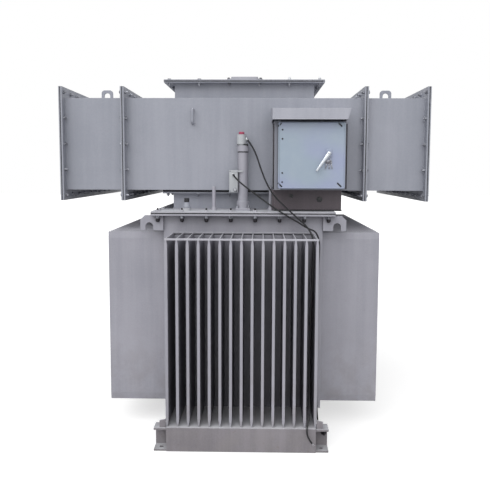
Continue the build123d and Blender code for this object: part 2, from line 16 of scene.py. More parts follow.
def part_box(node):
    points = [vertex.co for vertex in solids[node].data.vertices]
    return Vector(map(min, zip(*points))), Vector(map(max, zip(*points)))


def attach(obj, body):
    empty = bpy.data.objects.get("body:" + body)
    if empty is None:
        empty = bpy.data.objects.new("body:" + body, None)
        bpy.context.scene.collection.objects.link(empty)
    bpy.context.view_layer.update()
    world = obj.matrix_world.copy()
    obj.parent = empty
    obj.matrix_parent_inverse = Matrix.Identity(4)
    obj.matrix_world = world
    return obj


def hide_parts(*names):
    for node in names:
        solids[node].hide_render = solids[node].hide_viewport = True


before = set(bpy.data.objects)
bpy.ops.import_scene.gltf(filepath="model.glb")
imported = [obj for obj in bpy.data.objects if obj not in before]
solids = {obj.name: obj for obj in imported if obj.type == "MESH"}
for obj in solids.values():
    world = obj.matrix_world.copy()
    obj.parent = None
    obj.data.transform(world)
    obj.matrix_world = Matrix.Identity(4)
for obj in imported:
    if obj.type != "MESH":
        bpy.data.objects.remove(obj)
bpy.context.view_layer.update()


def placed(name, data):
    """A new object in the scene"""
    made = bpy.data.objects.new(name, data)
    bpy.context.scene.collection.objects.link(made)
    return made


# %% [markdown]
# ## The camera
# The photograph was taken from a little right of the middle, at chest height and almost four
# metres from the middle of the tank. The place, turn and lens were solved from the corners of the
# tank, the duct and the lid. A camera looks along its own -Z, so its matrix has the right-hand
# direction, the upward direction and the backward direction as columns. This way no angle order
# can go wrong.

# %% Camera
image_side = 490
focal_length_px = 696.99
film_width = 36
camera_place = Vector((0.07613, -3.87087, 1.19106))
yaw, pitch, roll = (math.radians(angle) for angle in (1.23, 6.10, 0.19))

level_right = Vector((math.cos(yaw), math.sin(yaw), 0))
level_ahead = Vector((-math.sin(yaw), math.cos(yaw), 0))
straight_up = Vector((0, 0, 1))
look = math.cos(pitch) * level_ahead - math.sin(pitch) * straight_up
head_up = math.sin(pitch) * level_ahead + math.cos(pitch) * straight_up
picture_right = math.cos(roll) * level_right + math.sin(roll) * head_up
picture_up = math.cos(roll) * head_up - math.sin(roll) * level_right

lens = bpy.data.cameras.new("Lens")
lens.sensor_width = film_width
lens.lens = focal_length_px / image_side * film_width
camera = placed("Camera", lens)
turned = Matrix((picture_right, picture_up, -look)).transposed().to_4x4()
camera.matrix_world = Matrix.Translation(camera_place) @ turned
bpy.context.scene.camera = camera
print("lens", round(lens.lens, 2), "mm at", [round(x, 2) for x in camera_place])

# %% [markdown]
# ## The two signal cables
# Two thin black cables leave the riser: one from its head and one from the small junction box.
# They swing over the lid, meet at its front edge and drop in front of the fins, one between the
# last two fins and over the apron, the other outside the last fin. A cable could be a chain of
# cylinders, but a NURBS curve bends the way a sheath does. The points are its control points, and
# the curve cuts gently inside them. The curve is read once without thickness, which gives the line
# that the cable follows, and once with a round bevel, which gives the tube.

# %% Cable routes
cable_diameter = 0.007
head_cable_places = [
    (0.0166, -0.6600, 1.3292), (0.0378, -0.6600, 1.3039), (0.059, -0.675, 1.259),
    (0.080, -0.692, 1.194), (0.107, -0.717, 1.127), (0.142, -0.756, 1.073),
    (0.188, -0.814, 1.031), (0.239, -0.882, 0.987), (0.283, -0.938, 0.949),
    (0.302, -0.965, 0.900), (0.301, -0.973, 0.820), (0.297, -0.969, 0.730),
    (0.294, -0.963, 0.637), (0.291, -0.960, 0.542), (0.289, -0.960, 0.447),
    (0.289, -0.962, 0.352), (0.290, -0.967, 0.260), (0.291, -0.978, 0.186),
    (0.287, -1.005, 0.142), (0.278, -1.027, 0.110), (0.281, -1.031, 0.072),
    (0.301, -1.032, 0.047),
]
junction_cable_places = [
    (-0.0455, -0.695, 1.171), (-0.0455, -0.728, 1.171), (-0.027, -0.752, 1.150),
    (0.008, -0.769, 1.121), (0.050, -0.778, 1.091), (0.096, -0.786, 1.057),
    (0.145, -0.800, 1.023), (0.196, -0.815, 0.993), (0.248, -0.821, 0.963),
    (0.289, -0.819, 0.937), (0.321, -0.813, 0.927), (0.341, -0.807, 0.880),
    (0.337, -0.802, 0.800), (0.335, -0.799, 0.712), (0.332, -0.799, 0.630),
    (0.330, -0.801, 0.552), (0.330, -0.804, 0.470), (0.333, -0.807, 0.378),
    (0.335, -0.808, 0.286), (0.335, -0.806, 0.200), (0.337, -0.803, 0.126),
    (0.343, -0.800, 0.066),
]


def smooth_line(name, places):
    """An open spline of order three that starts and ends at its first and last control point"""
    line = bpy.data.curves.new(name, "CURVE")
    line.dimensions = "3D"
    spline = line.splines.new("NURBS")
    spline.points.add(len(places) - 1)
    for control, place in zip(spline.points, places):
        control.co = (*place, 1)
    spline.order_u = 3
    spline.use_endpoint_u = True
    spline.resolution_u = 8
    return line


def as_mesh(data):
    """A curve's shape, or an object's with its modifiers, as a plain mesh"""
    maker = placed("Maker", data) if isinstance(data, bpy.types.Curve) else data
    shown = maker.evaluated_get(bpy.context.evaluated_depsgraph_get())
    mesh = bpy.data.meshes.new_from_object(shown)
    bpy.data.objects.remove(maker)
    return mesh


def as_piece(name, mesh, body, slot, sharp_angle=40):
    """A finished mesh as a piece that rides on a body, smooth but for its sharp edges"""
    mesh.name = name
    mesh.shade_smooth()
    mesh.set_sharp_from_angle(angle=math.radians(sharp_angle))
    piece = placed(name, mesh)
    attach(piece, body)
    return piece


def lay_cable(name, places, solid):
    """A black cable along a route, which stands for its plain solid, and the line it follows"""
    line = smooth_line(name, places)
    followed = [vertex.co.copy() for vertex in as_mesh(line).vertices]
    line.bevel_depth = cable_diameter / 2
    line.bevel_resolution = 4
    line.use_fill_caps = True
    cable = as_piece(name, as_mesh(line), "transformer", "cable_sheath")
    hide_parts(solid)
    return cable, followed


head_cable, head_line = lay_cable("head_cable", head_cable_places, "cable_from_head")
junction_cable, junction_line = lay_cable(
    "junction_cable", junction_cable_places, "cable_from_junction"
)
print("points on the lines", len(head_line), len(junction_line))

# %% [markdown]
# ## Floor, sky and lamps
# The picture wants a white ground with no horizon, while the paint has to render about as it is
# written. So the sky is a plain grey that lights the object, and it shows as white only to the
# camera and in reflections. The floor glows a little to the camera alone, which lifts it to white
# and leaves the soft shadow at the feet. A large soft sun stands at the upper left, which gives
# the pipe its light and its dark side. A weaker one in front, a little to the right, reaches
# between the fins and under the duct, as the light of an open yard does.

# %% Small graph writer
class Amount:
    """A socket that takes part in sums: each operator adds one Math node"""

    def __init__(self, graph, socket):
        self.graph, self.socket = graph, socket

    def joined(self, operation, first, second):
        return self.graph.node("ShaderNodeMath", {"operation": operation}, {0: first, 1: second})

    def __add__(self, other):
        return self.joined("ADD", self, other)

    def __sub__(self, other):
        return self.joined("SUBTRACT", self, other)

    def __rsub__(self, other):
        return self.joined("SUBTRACT", other, self)

    def __mul__(self, other):
        return self.joined("MULTIPLY", self, other)

    def __mod__(self, other):
        return self.joined("FLOORED_MODULO", self, other)

    __radd__ = __add__
    __rmul__ = __mul__


class Graph:
    """A node tree that is written one node at a time"""

    def __init__(self, tree):
        self.tree = tree

    def node(self, kind, settings=None, values=None, output=0):
        """Adds a node with its settings and its sockets' values or links; gives one output"""
        made = self.tree.nodes.new(kind)
        for setting, choice in (settings or {}).items():
            setattr(made, setting, choice)
        for key, value in (values or {}).items():
            socket = self.find(made.inputs, key)
            if isinstance(value, Amount):
                self.tree.links.new(value.socket, socket)
            else:
                socket.default_value = value
        return None if output is None else Amount(self, self.find(made.outputs, output))

    def find(self, sockets, key):
        """The live socket with that name, or with that place among the live ones"""
        live = [socket for socket in sockets if socket.enabled]
        return live[key] if isinstance(key, int) else next(s for s in live if s.name == key)


def linear(red, green, blue):
    """A screen colour of 0 to 255 as the linear colour that Blender mixes"""
    parts = [part / 255 for part in (red, green, blue)]
    return tuple(p / 12.92 if p < 0.04045 else ((p + 0.055) / 1.055) ** 2.4 for p in parts) + (1,)


print("an even grey of 158 is", [round(part, 3) for part in linear(158, 158, 158)[:3]])

# %% Sky
sky_grey = 0.74
sky = bpy.data.worlds.new("Sky")
sky.use_nodes = True
sky.node_tree.nodes.clear()
graph = Graph(sky.node_tree)
shown = graph.node("ShaderNodeLightPath", output="Is Camera Ray")
for ray in ("Is Glossy Ray", "Is Transmission Ray"):
    other = graph.node("ShaderNodeLightPath", output=ray)
    shown = shown.joined("MAXIMUM", shown, other)
glow = graph.node(
    "ShaderNodeBackground", {},
    {"Color": (1, 1, 1, 1), "Strength": shown * (1 - sky_grey) + sky_grey},
)
graph.node("ShaderNodeOutputWorld", {}, {"Surface": glow}, None)
bpy.context.scene.world = sky
print("sky grey", sky_grey)

# %% Floor and sun
floor_half, floor_sink = 30, 0.001
floor_grey, glow_share = 0.62, 0.58
floor_mesh = bpy.data.meshes.new("Floor")
corners = [(x, y, 0) for x, y in ((-1, -1), (1, -1), (1, 1), (-1, 1))]
floor_mesh.from_pydata([Vector(corner) * floor_half for corner in corners], [], [(0, 1, 2, 3)])
floor_mesh.transform(Matrix.Translation((0, 0, -floor_sink)))
floor = placed("Floor", floor_mesh)
pale = bpy.data.materials.new("Pale floor")
pale.use_nodes = True
pale.node_tree.nodes.clear()
graph = Graph(pale.node_tree)
ground = graph.node("ShaderNodeBsdfDiffuse", {}, {"Color": (floor_grey, floor_grey, floor_grey, 1)})
camera_sees = graph.node("ShaderNodeLightPath", output="Is Camera Ray")
lift = graph.node(
    "ShaderNodeEmission", {}, {"Color": (1, 1, 1, 1), "Strength": camera_sees * glow_share}
)
both = graph.node("ShaderNodeAddShader", {}, {0: ground, 1: lift})
graph.node("ShaderNodeOutputMaterial", {}, {"Surface": both}, None)
floor_mesh.materials.append(pale)


def add_sun(name, strength, spread_angle, shines_from):
    """A far lamp whose light comes from a direction, softened by its angle"""
    light = bpy.data.lights.new(name, "SUN")
    light.energy = strength
    light.angle = math.radians(spread_angle)
    lamp = placed(name, light)
    lamp.matrix_world = Vector(shines_from).to_track_quat("Z", "Y").to_matrix().to_4x4()


add_sun("Key", 1.25, 50, (-0.40, -0.62, 0.72))
add_sun("Front", 0.72, 40, (0.10, -1.0, 0.45))
bpy.context.scene.view_settings.view_transform = "Standard"
print("floor glow", glow_share)

# %% [markdown]
# ## Machine paint
# The tank, ducts and base wear sprayed enamel that has stood outside. Paint like that is never one
# tone: broad clouds where the coat is thicker, faint runs where rain washed dust down, a fine skin
# like orange peel, and on whatever faces up a pale tone that is partly dust and partly a painted
# top light. Sheet edges are never knife sharp either: the Bevel node rounds their shading, and
# where it turns away from the true face the paint is lighter, partly worn and partly a painted
# highlight. Deep between the fins the Ambient Occlusion node finds how closed in a point is, and
# there the colour is darkened, a painted shade. All of it meets in one recipe for every sheet.

# %% Shader helpers
def new_finish(name):
    """A material with its graph, its shader and the place on the object"""
    material = bpy.data.materials.new(name)
    material.use_nodes = True
    graph = Graph(material.node_tree)
    place = graph.node("ShaderNodeTexCoord", output="Object")
    return material, graph, material.node_tree.nodes["Principled BSDF"], place


def feed(graph, shader, values):
    """Sets or links the shader's sockets"""
    for name, value in values.items():
        if isinstance(value, Amount):
            graph.tree.links.new(value.socket, shader.inputs[name])
        else:
            shader.inputs[name].default_value = value


def grain(graph, place, scale, detail=3.0, stretch=(1, 1, 1)):
    """Noise of a scale in repeats a metre, drawn out where stretch is below one"""
    drawn = graph.node("ShaderNodeVectorMath", {"operation": "MULTIPLY"}, {0: place, 1: stretch})
    return graph.node(
        "ShaderNodeTexNoise", {},
        {"Vector": drawn, "Scale": scale, "Detail": detail, "Roughness": 0.6},
    )


def eased(graph, value, low, high):
    """0 below low, 1 above high, smooth between"""
    return graph.node(
        "ShaderNodeMapRange",
        {"interpolation_type": "SMOOTHSTEP"},
        {"Value": value, "From Min": low, "From Max": high},
    )


def blended(graph, share, first, second):
    """A colour between two others, each a socket or a screen colour"""
    first, second = (
        tone if isinstance(tone, Amount) else linear(*tone) for tone in (first, second)
    )
    return graph.node(
        "ShaderNodeMix", {"data_type": "RGBA"}, {"Factor": share, "A": first, "B": second}
    )


def raised(graph, height, depth, strength=1.0, under=None):
    """A surface direction from a height, whose full range is depth metres"""
    values = {"Strength": strength, "Distance": depth, "Height": height}
    if under:
        values["Normal"] = under
    return graph.node("ShaderNodeBump", {}, values, "Normal")


def soft_edges(graph, radius):
    """The direction of a surface whose edges are rounded, and 0 to 1 for how near an edge is"""
    rounded = graph.node("ShaderNodeBevel", {"samples": 6}, {"Radius": radius})
    flat = graph.node("ShaderNodeNewGeometry", output="True Normal")
    agreement = graph.node(
        "ShaderNodeVectorMath", {"operation": "DOT_PRODUCT"}, {0: rounded, 1: flat}, "Value"
    )
    return rounded, eased(graph, 1 - agreement, 0.01, 0.22)


print("helpers ready")

# %% Painted steel
# Pale tone on upward faces: partly dust, partly a painted top light
dust_and_top_light_tone = (206, 208, 213)
# Lighter tone on edges: partly worn paint, partly a painted highlight
worn_edge_and_highlight_tone = (186, 187, 194)
rust_tone = (96, 66, 52)
# Dark tone that paints the shade deep between the fins
crevice_shade_tone = (72, 69, 80)
soil_tone = (128, 124, 124)


def painted_steel(
    name, dark_tone, light_tone, roughness=0.46, dust_and_top_light=0.6, rust=0.0,
    soil=0.0, soil_height=0.16, edge_wear_and_highlight=0.45, crevice_shade=0.0,
):
    """Sprayed enamel: clouds, rain runs, orange peel, dust and painted top light above, rust and
    soil low down, edges lighter from wear and a painted highlight, and painted shade in crevices
    """
    material, graph, shader, place = new_finish(name)
    clouds = grain(graph, place, 1.7, 4.0)
    runs = grain(graph, place, 22, 3.0, (1, 1, 0.05))
    flecks = grain(graph, place, 150, 2.0)
    tone = eased(graph, clouds * 0.55 + runs * 0.3 + flecks * 0.15, 0.36, 0.64)
    coat = blended(graph, tone, dark_tone, light_tone)

    rounded, edge = soft_edges(graph, 0.003)
    patches = eased(graph, grain(graph, place, 11, 5.0), 0.32, 0.7)
    # Edges turn lighter: partly worn paint, partly a painted highlight
    coat = blended(graph, edge * (patches * 0.5 + 0.5) * edge_wear_and_highlight, coat, worn_edge_and_highlight_tone)
    # Upward faces turn pale: partly dust, partly a painted top light
    upward = graph.node("ShaderNodeSeparateXYZ", {}, {"Vector": rounded}, "Z")
    dust_and_top_light_share = eased(graph, upward, 0.5, 0.95) * (patches * 0.5 + 0.5) * dust_and_top_light
    coat = blended(graph, dust_and_top_light_share, coat, dust_and_top_light_tone)

    height = graph.node("ShaderNodeSeparateXYZ", {}, {"Vector": place}, "Z")
    low_down = 1 - eased(graph, height, 0.02, soil_height)
    splashes = eased(graph, grain(graph, place, 14, 5.0), 0.35, 0.7)
    coat = blended(graph, low_down * splashes * soil, coat, soil_tone)
    specks = eased(graph, grain(graph, place, 48, 5.0), 0.64, 0.7)
    rusty = specks * rust
    coat = blended(graph, rusty, coat, rust_tone)
    # Painted shade: where the Ambient Occlusion node finds a point closed in, the colour darkens
    if crevice_shade:
        open_share = graph.node(
            "ShaderNodeAmbientOcclusion", {"samples": 6}, {"Distance": 0.16}, "AO"
        )
        closed_in = (1 - eased(graph, open_share, 0.06, 0.45)) * (1 - dust_and_top_light_share)
        coat = blended(graph, closed_in * crevice_shade, coat, crevice_shade_tone)

    peel = grain(graph, place, 420, 1.0)
    feed(graph, shader, {
        "Base Color": coat,
        "Roughness": patches * 0.08 + (roughness - 0.04) + dust_and_top_light_share * 0.2 + rusty * 0.3,
        "Normal": raised(graph, peel + flecks * 0.5 - rusty, 0.0004, 0.25, rounded),
        "Specular IOR Level": 0.4,
    })
    return material


tank_paint = painted_steel(
    "Tank enamel", (143, 143, 152), (158, 157, 166),
    dust_and_top_light=0.75, rust=0.06, soil=0.5, soil_height=0.6, crevice_shade=0.45,
)
# Paler paint: on the lid's top partly dust and partly a painted light; on the fin bars, the fin
# seam and the apron's rolled edges a painted highlight
pale_dust_and_highlight_paint = painted_steel("Lid enamel", (158, 158, 166), (172, 171, 179), dust_and_top_light=0.9)
# Much paler than the tank's paint: a painted light on the plate in the fins' shade
floor_plate_paint_and_light = painted_steel("Floor plate enamel", (182, 179, 184), (196, 193, 198), 0.6, rust=0.2)
duct_paint = painted_steel("Duct enamel", (138, 141, 151), (151, 153, 163))
hood_paint = painted_steel("Hood enamel", (150, 152, 162), (164, 165, 175))
# Darker paint that paints the shade on the box's flanks beside the door
shaded_box_paint = painted_steel("Box enamel", (112, 114, 124), (124, 126, 136))
base_paint = painted_steel(
    "Base enamel", (112, 108, 113), (134, 130, 135), 0.6, dust_and_top_light=0.8, rust=0.2, soil=0.4
)
# Dark tone that paints the shade under the box above the plinth
shaded_plinth_paint = painted_steel("Plinth enamel", (74, 66, 72), (92, 84, 89), dust_and_top_light=0.2)
print("painted finishes", len(bpy.data.materials))

# %% [markdown]
# ## The door's enamel
# The door of the control box is a bought part in a cooler, bluer enamel, smooth enough to hold a
# dim sheen. Two broad noises shift its colour between a blue and a greener grey and lay pale
# patches on it, which paint its mottled reflection, and its roughness stays low. Its edges are
# lighter, a painted highlight.

# %% Door enamel
door_paint, graph, shader, place = new_finish("Door enamel")
# Painted reflection: the colour mottles between a blue and a greener grey
mottled_reflection = eased(graph, grain(graph, place, 4.6, 1.0), 0.38, 0.62)
skin_tone = blended(graph, mottled_reflection, (142, 156, 171), (143, 151, 179))
# Pale patches: a painted sheen, which also varies the roughness
sheen_and_haze = eased(graph, grain(graph, place, 13, 4.0), 0.4, 0.75)
skin_tone = blended(graph, sheen_and_haze * 0.25, skin_tone, (160, 170, 178))
# Painted highlight: the door's edges are lighter
rounded, edge = soft_edges(graph, 0.004)
skin_tone = blended(graph, edge * 0.35, skin_tone, (186, 194, 202))
feed(graph, shader, {
    "Base Color": skin_tone,
    "Roughness": sheen_and_haze * 0.08 + 0.3,
    "Normal": raised(graph, grain(graph, place, 300, 1.0), 0.0002, 0.2, rounded),
    "Coat Weight": 0.2,
})
print("door finish", door_paint.name)

# %% [markdown]
# ## Rubber, plastics, zinc and chrome
# The small parts are plain stuff. Sheet rubber is near black and dull with a powdery bloom.
# Moulded plastic has a fine spark-eroded grain. Zinc is a rough metal with dull patches, and on
# the bolts its dark tone is a painted dark reflection. The door handle is polished. One recipe
# serves the plastics and one the metals.

# %% Plastics and metals
def moulded(name, tone, bloom_tone, roughness=0.45, bloom=0.3):
    """Plastic or rubber with a fine grain and a pale bloom in patches"""
    material, graph, shader, place = new_finish(name)
    patches = eased(graph, grain(graph, place, 24, 4.0), 0.38, 0.72)
    feed(graph, shader, {
        "Base Color": blended(graph, patches * bloom, tone, bloom_tone),
        "Roughness": patches * 0.15 + (roughness - 0.05),
        "Normal": raised(graph, grain(graph, place, 900, 2.0), 0.0002, 0.3),
    })
    return material


def bare_metal(name, tone, dull_tone, roughness, dullness):
    """Metal with dull patches and fine scratches"""
    material, graph, shader, place = new_finish(name)
    dull = eased(graph, grain(graph, place, 85, 4.0), 0.42, 0.66) * dullness
    scratches = grain(graph, place, 400, 2.0, (1, 0.12, 1))
    feed(graph, shader, {
        "Base Color": blended(graph, dull, tone, dull_tone),
        "Metallic": 1 - dull * 0.6,
        "Roughness": dull * 0.3 + scratches * 0.12 + roughness,
        "Normal": raised(graph, scratches, 0.0002, 0.2),
    })
    return material


rubber = moulded("Sheet rubber", (26, 26, 29), (58, 58, 62), 0.78)
dark_plastic = moulded("Black plastic", (30, 31, 35), (56, 57, 62), 0.45, 0.2)
white_plastic = moulded("White plastic", (172, 173, 178), (156, 157, 160), 0.4)
cone_plastic = moulded("Cone plastic", (140, 143, 153), (156, 158, 166), 0.4)
grey_plastic = moulded("Grey plastic", (172, 175, 179), (160, 163, 166), 0.45)
red_plastic = moulded("Red plastic", (164, 66, 92), (158, 98, 116), 0.4, 0.6)
sheath = moulded("Cable sheath", (12, 12, 16), (36, 36, 42), 0.6, 0.2)
chrome = bare_metal("Chrome", (204, 209, 216), (180, 183, 190), 0.18, 0.25)
# Painted reflection: the zinc's dark dull tone stands for the dark that the bolts mirror
zinc = bare_metal("Zinc", (158, 160, 168), (92, 92, 98), 0.38, 0.9)
dark_steel = bare_metal("Dark steel", (62, 60, 64), (46, 44, 47), 0.5, 0.8)
bright_zinc = bare_metal("Bright zinc", (196, 198, 202), (150, 151, 155), 0.25, 0.5)
for cable in (head_cable, junction_cable):
    cable.data.materials.clear()
    cable.data.materials.append(sheath)
print("small finishes", len(bpy.data.materials))

# %% [markdown]
# ## Paint on the solids
# Every solid of the imported model carries the name of its finish as its material. The finished
# materials take their places slot by slot, so no mesh is touched. A few solids differ from the
# rest of their slot and get a finish of their own: the paler lid, whose paleness is partly dust
# and partly a painted highlight, the darker box and plinth, whose dark tones paint the shade they
# stand in, and the paler floor plate, a painted light between the fins.

# %% Materials to slots
finishes = {
    "tank_paint": tank_paint, "duct_paint": duct_paint, "base_paint": base_paint,
    "gasket": rubber, "door_paint": door_paint, "bright_metal": chrome,
    "dark_plastic": dark_plastic, "white_plastic": white_plastic, "red_plastic": red_plastic,
    "grey_plastic": grey_plastic, "cable_sheath": sheath,
}
for solid in solids.values():
    for slot in solid.material_slots:
        slot.material = finishes[slot.material.name]
own_finishes = {
    "box_plinth": shaded_plinth_paint, "box_hood": hood_paint, "control_box": shaded_box_paint,
    "tank_floor": floor_plate_paint_and_light, "lid": pale_dust_and_highlight_paint, "fin_bars": pale_dust_and_highlight_paint,
    "hand_hole_cover": pale_dust_and_highlight_paint, "riser_head": grey_plastic,
}
for name, finish in own_finishes.items():
    solids[name].material_slots[0].material = finish
print("painted", len(solids), "solids")

# %% [markdown]
# ## Bolts and nuts
# Well over two hundred bolts close the lid, the duct joints and the throat. They follow a rule:
# one fastener at each point, standing along the direction of its flange. Geometry Nodes do exactly
# that. The tree builds one fastener from cones, which with equal radii are prisms: a washer, a
# hexagon with its chamfer, and the thread's end. The chamfer starts a little inside the head, so
# the two never share an edge. The tree copies the fastener to every vertex of a seed mesh, lines
# it up with the vertex's own direction, and turns it by a seeded random angle, as nuts stop where
# the torque is reached.

# %% Fastener tree
def new_tree(name, inputs):
    """A geometry tree with a mesh input, named sizes and a finish"""
    tree = bpy.data.node_groups.new(name, "GeometryNodeTree")
    tree.interface.new_socket(name="Seeds", in_out="INPUT", socket_type="NodeSocketGeometry")
    for label, kind in (*((size, "Float") for size in inputs), ("Finish", "Material")):
        tree.interface.new_socket(name=label, in_out="INPUT", socket_type="NodeSocket" + kind)
    tree.interface.new_socket(name="Made", in_out="OUTPUT", socket_type="NodeSocketGeometry")
    return tree, Graph(tree)


def tree_input(graph, label):
    """What the tree is given under a label"""
    return graph.node("NodeGroupInput", output=label)


def tree_end(graph, shape):
    """Gives the shape the finish and hands it out, with its copies made real"""
    real = graph.node("GeometryNodeRealizeInstances", {}, {"Geometry": shape})
    done = graph.node(
        "GeometryNodeSetMaterial", {}, {"Geometry": real, "Material": tree_input(graph, "Finish")}
    )
    graph.node("NodeGroupOutput", {}, {"Made": done}, None)


def moved(graph, shape, **offset):
    """A shape moved along the named axes"""
    shift = graph.node("ShaderNodeCombineXYZ", {}, offset)
    return graph.node("GeometryNodeTransform", {}, {"Geometry": shape, "Translation": shift})


def turned_part(graph, sides, low_radius, high_radius, height, base):
    """A prism or a frustum that stands on the height base"""
    body = graph.node(
        "GeometryNodeMeshCone", {"fill_type": "NGON"},
        {
            "Vertices": sides, "Radius Top": high_radius,
            "Radius Bottom": low_radius, "Depth": height,
        },
    )
    return moved(graph, body, Z=base)


def joined(graph, parts):
    """Several geometries as one"""
    node = graph.tree.nodes.new("GeometryNodeJoinGeometry")
    for part in parts:
        graph.tree.links.new(part.socket, node.inputs[0])
    return Amount(graph, node.outputs[0])


def copied_to_seeds(graph, shape, spin):
    """The shape at every seed, stood up along the seed's outward direction and spun about it"""
    outward = graph.node(
        "GeometryNodeInputNamedAttribute", {"data_type": "FLOAT_VECTOR"}, {"Name": "outward"}
    )
    stand = graph.node("FunctionNodeAlignRotationToVector", {"axis": "Z"}, {"Vector": outward})
    turn = graph.node("FunctionNodeEulerToRotation", {}, {
        "Euler": graph.node("ShaderNodeCombineXYZ", {}, {"Z": spin}),
    })
    stand = graph.node(
        "FunctionNodeRotateRotation", {"rotation_space": "LOCAL"},
        {"Rotation": stand, "Rotate By": turn},
    )
    return graph.node(
        "GeometryNodeInstanceOnPoints", {},
        {"Points": tree_input(graph, "Seeds"), "Instance": shape, "Rotation": stand},
    )


fastener_sizes = (
    "Sides", "Across flats", "Head height", "Washer radius", "Washer height",
    "Thread radius", "Thread length",
)
fastener_tree, graph = new_tree("Fasteners", fastener_sizes)
sides, flats, head, washer_radius, washer, thread_radius, thread = (
    tree_input(graph, label) for label in fastener_sizes
)
corner_radius = flats * (1 / math.sqrt(3))
chamfer_share, sunk_share = 0.22, 0.04
chamfer_height = head * (chamfer_share + sunk_share)
one_fastener = joined(graph, [
    turned_part(graph, 16, washer_radius, washer_radius * 0.97, washer, 0.0),
    turned_part(graph, sides, corner_radius, corner_radius, head * (1 - chamfer_share), washer),
    turned_part(
        graph, sides, corner_radius * 0.995, corner_radius * 0.86, chamfer_height,
        washer + head * (1 - chamfer_share - sunk_share),
    ),
    turned_part(graph, 8, thread_radius, thread_radius * 0.85, thread, washer + head),
])
any_angle = graph.node(
    "FunctionNodeRandomValue", {"data_type": "FLOAT"}, {"Min": 0.0, "Max": math.pi / 3, "Seed": 7}
)
tree_end(graph, copied_to_seeds(graph, one_fastener, any_angle))
print("fastener tree of", len(fastener_tree.nodes), "nodes")

# %% [markdown]
# A tree's result is taken off as a plain mesh: the modifier gets its sizes by the sockets'
# identifiers, the evaluated object is copied to a new mesh, and the seed with its modifier goes.

# %% From seeds to a piece
def grow(name, seeds, tree, sizes, finish, slot, body):
    """Runs a tree on a seed mesh and keeps the result as a piece that rides on a body"""
    seed = placed(name + "_seed", seeds)
    rule = seed.modifiers.new("Rule", "NODES")
    rule.node_group = tree
    for item in tree.interface.items_tree:
        if item.name in sizes:
            rule[item.identifier] = float(sizes[item.name])
        if item.name == "Finish":
            rule[item.identifier] = finish
    seed.update_tag()
    mesh = as_mesh(seed)
    print(name, len(mesh.polygons), "faces")
    return as_piece(name, mesh, body, slot)


def seeds_at(places):
    """A mesh of loose vertices, each with the direction in which its fastener stands"""
    mesh = bpy.data.meshes.new("Seeds")
    mesh.from_pydata([place for place, _ in places], [], [])
    directions = mesh.attributes.new("outward", "FLOAT_VECTOR", "POINT")
    for vertex, (_, direction) in enumerate(places):
        directions.data[vertex].vector = direction
    return mesh


def spread(low, high, count):
    """Evenly spaced numbers from low to high, both included"""
    return [low + (high - low) * step / (count - 1) for step in range(count)]


def ring(half_wide, half_high, wide_count, high_count):
    """Places round a rectangle, corners once"""
    across = spread(-half_wide, half_wide, wide_count)
    upright = spread(-half_high, half_high, high_count)[1:-1]
    places = [(x, side * half_high) for x in across for side in (-1, 1)]
    return places + [(side * half_wide, y) for y in upright for side in (-1, 1)]


print("ring of the throat", len(ring(1, 1, 6, 9)), "places")

# %% [markdown]
# The fasteners come in a dozen kinds. A table gives each kind's sizes in the order of the tree's
# labels: the number of sides, then the head, the washer and the thread. Most are bare zinc.

# %% Kinds of fastener
hex_height = 0.012
kinds = {
    "painted nut": (6, 0.0160, 0.0050, 0.0110, 0.0020, 0.0035, 0.0004),
    "thread end": (6, 0.0070, 0.0140, 0.0036, 0.0010, 0.0030, 0.0010),
    "bare nut": (6, 0.0190, hex_height, 0.0112, 0.0015, 0.0060, 0.0002),
    "bolt end": (12, 0.0155, 0.0130, 0.0080, 0.0010, 0.0060, 0.0020),
    "small nut": (6, 0.0140, 0.0070, 0.0085, 0.0015, 0.0045, 0.0060),
    "small head": (6, 0.0140, 0.0055, 0.0085, 0.0015, 0.0045, 0.0004),
    "low head": (6, 0.0160, 0.0045, 0.0100, 0.0015, 0.0045, 0.0004),
    "screw": (12, 0.0055, 0.0016, 0.0034, 0.0004, 0.0010, 0.0002),
    "hinge screw": (12, 0.0062, 0.0020, 0.0038, 0.0004, 0.0010, 0.0002),
    "foot bolt": (6, 0.0100, 0.0050, 0.0065, 0.0010, 0.0030, 0.0120),
    "clamp bolt": (6, 0.0160, 0.0120, 0.0110, 0.0030, 0.0060, 0.0050),
    "stud": (6, 0.0170, 0.0120, 0.0125, 0.0030, 0.0060, 0.0140),
}


def fasten(name, kind, places, finish=zinc, slot="bright_metal", body="transformer"):
    """One kind of fastener at places, each a spot and the direction in which it stands"""
    sizes = dict(zip(fastener_sizes, kinds[kind]))
    return grow(name, seeds_at(places), fastener_tree, sizes, finish, slot, body)


print("kinds of fastener", len(kinds))

# %% [markdown]
# The lid's bolts stand 26 mm in from its edge: eight along the front and the back, eleven along
# each side. On the lid their low nuts were painted over with it, and dark thread ends show along
# the front and the back. Along the plinth its sheet hides them, so none stand there. Under the
# tank's flange sit bare nuts, and the dark ends of the bolts reach on below them.

# %% Lid bolts
_, lid_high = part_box("lid")
flange_low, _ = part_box("tank_flange")
plinth_low, plinth_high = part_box("box_plinth")
up, down, front = (0, 0, 1), (0, 0, -1), (0, -1, 0)
edge_inset = 0.026
front_bolt_x, side_bolt_y = 0.3815, 0.705
row_y, row_x = lid_high.y - edge_inset, lid_high.x - edge_inset
row_xs, row_ys = spread(-front_bolt_x, front_bolt_x, 8), spread(-side_bolt_y, side_bolt_y, 11)
lid_places = [(x, side * row_y) for x in row_xs for side in (-1, 1)]
lid_places += [(side * row_x, y) for y in row_ys for side in (-1, 1)]
lid_tops = [
    ((x, y, lid_high.z), up) for x, y in lid_places
    if y > -side_bolt_y or not plinth_low.x < x < plinth_high.x
]
fasten("lid_nuts", "painted nut", lid_tops, pale_dust_and_highlight_paint, "tank_paint")
end_tops = [(place, up) for place, _ in lid_tops if abs(place[1]) > side_bolt_y]
fasten("lid_thread_ends", "thread end", end_tops, dark_steel)
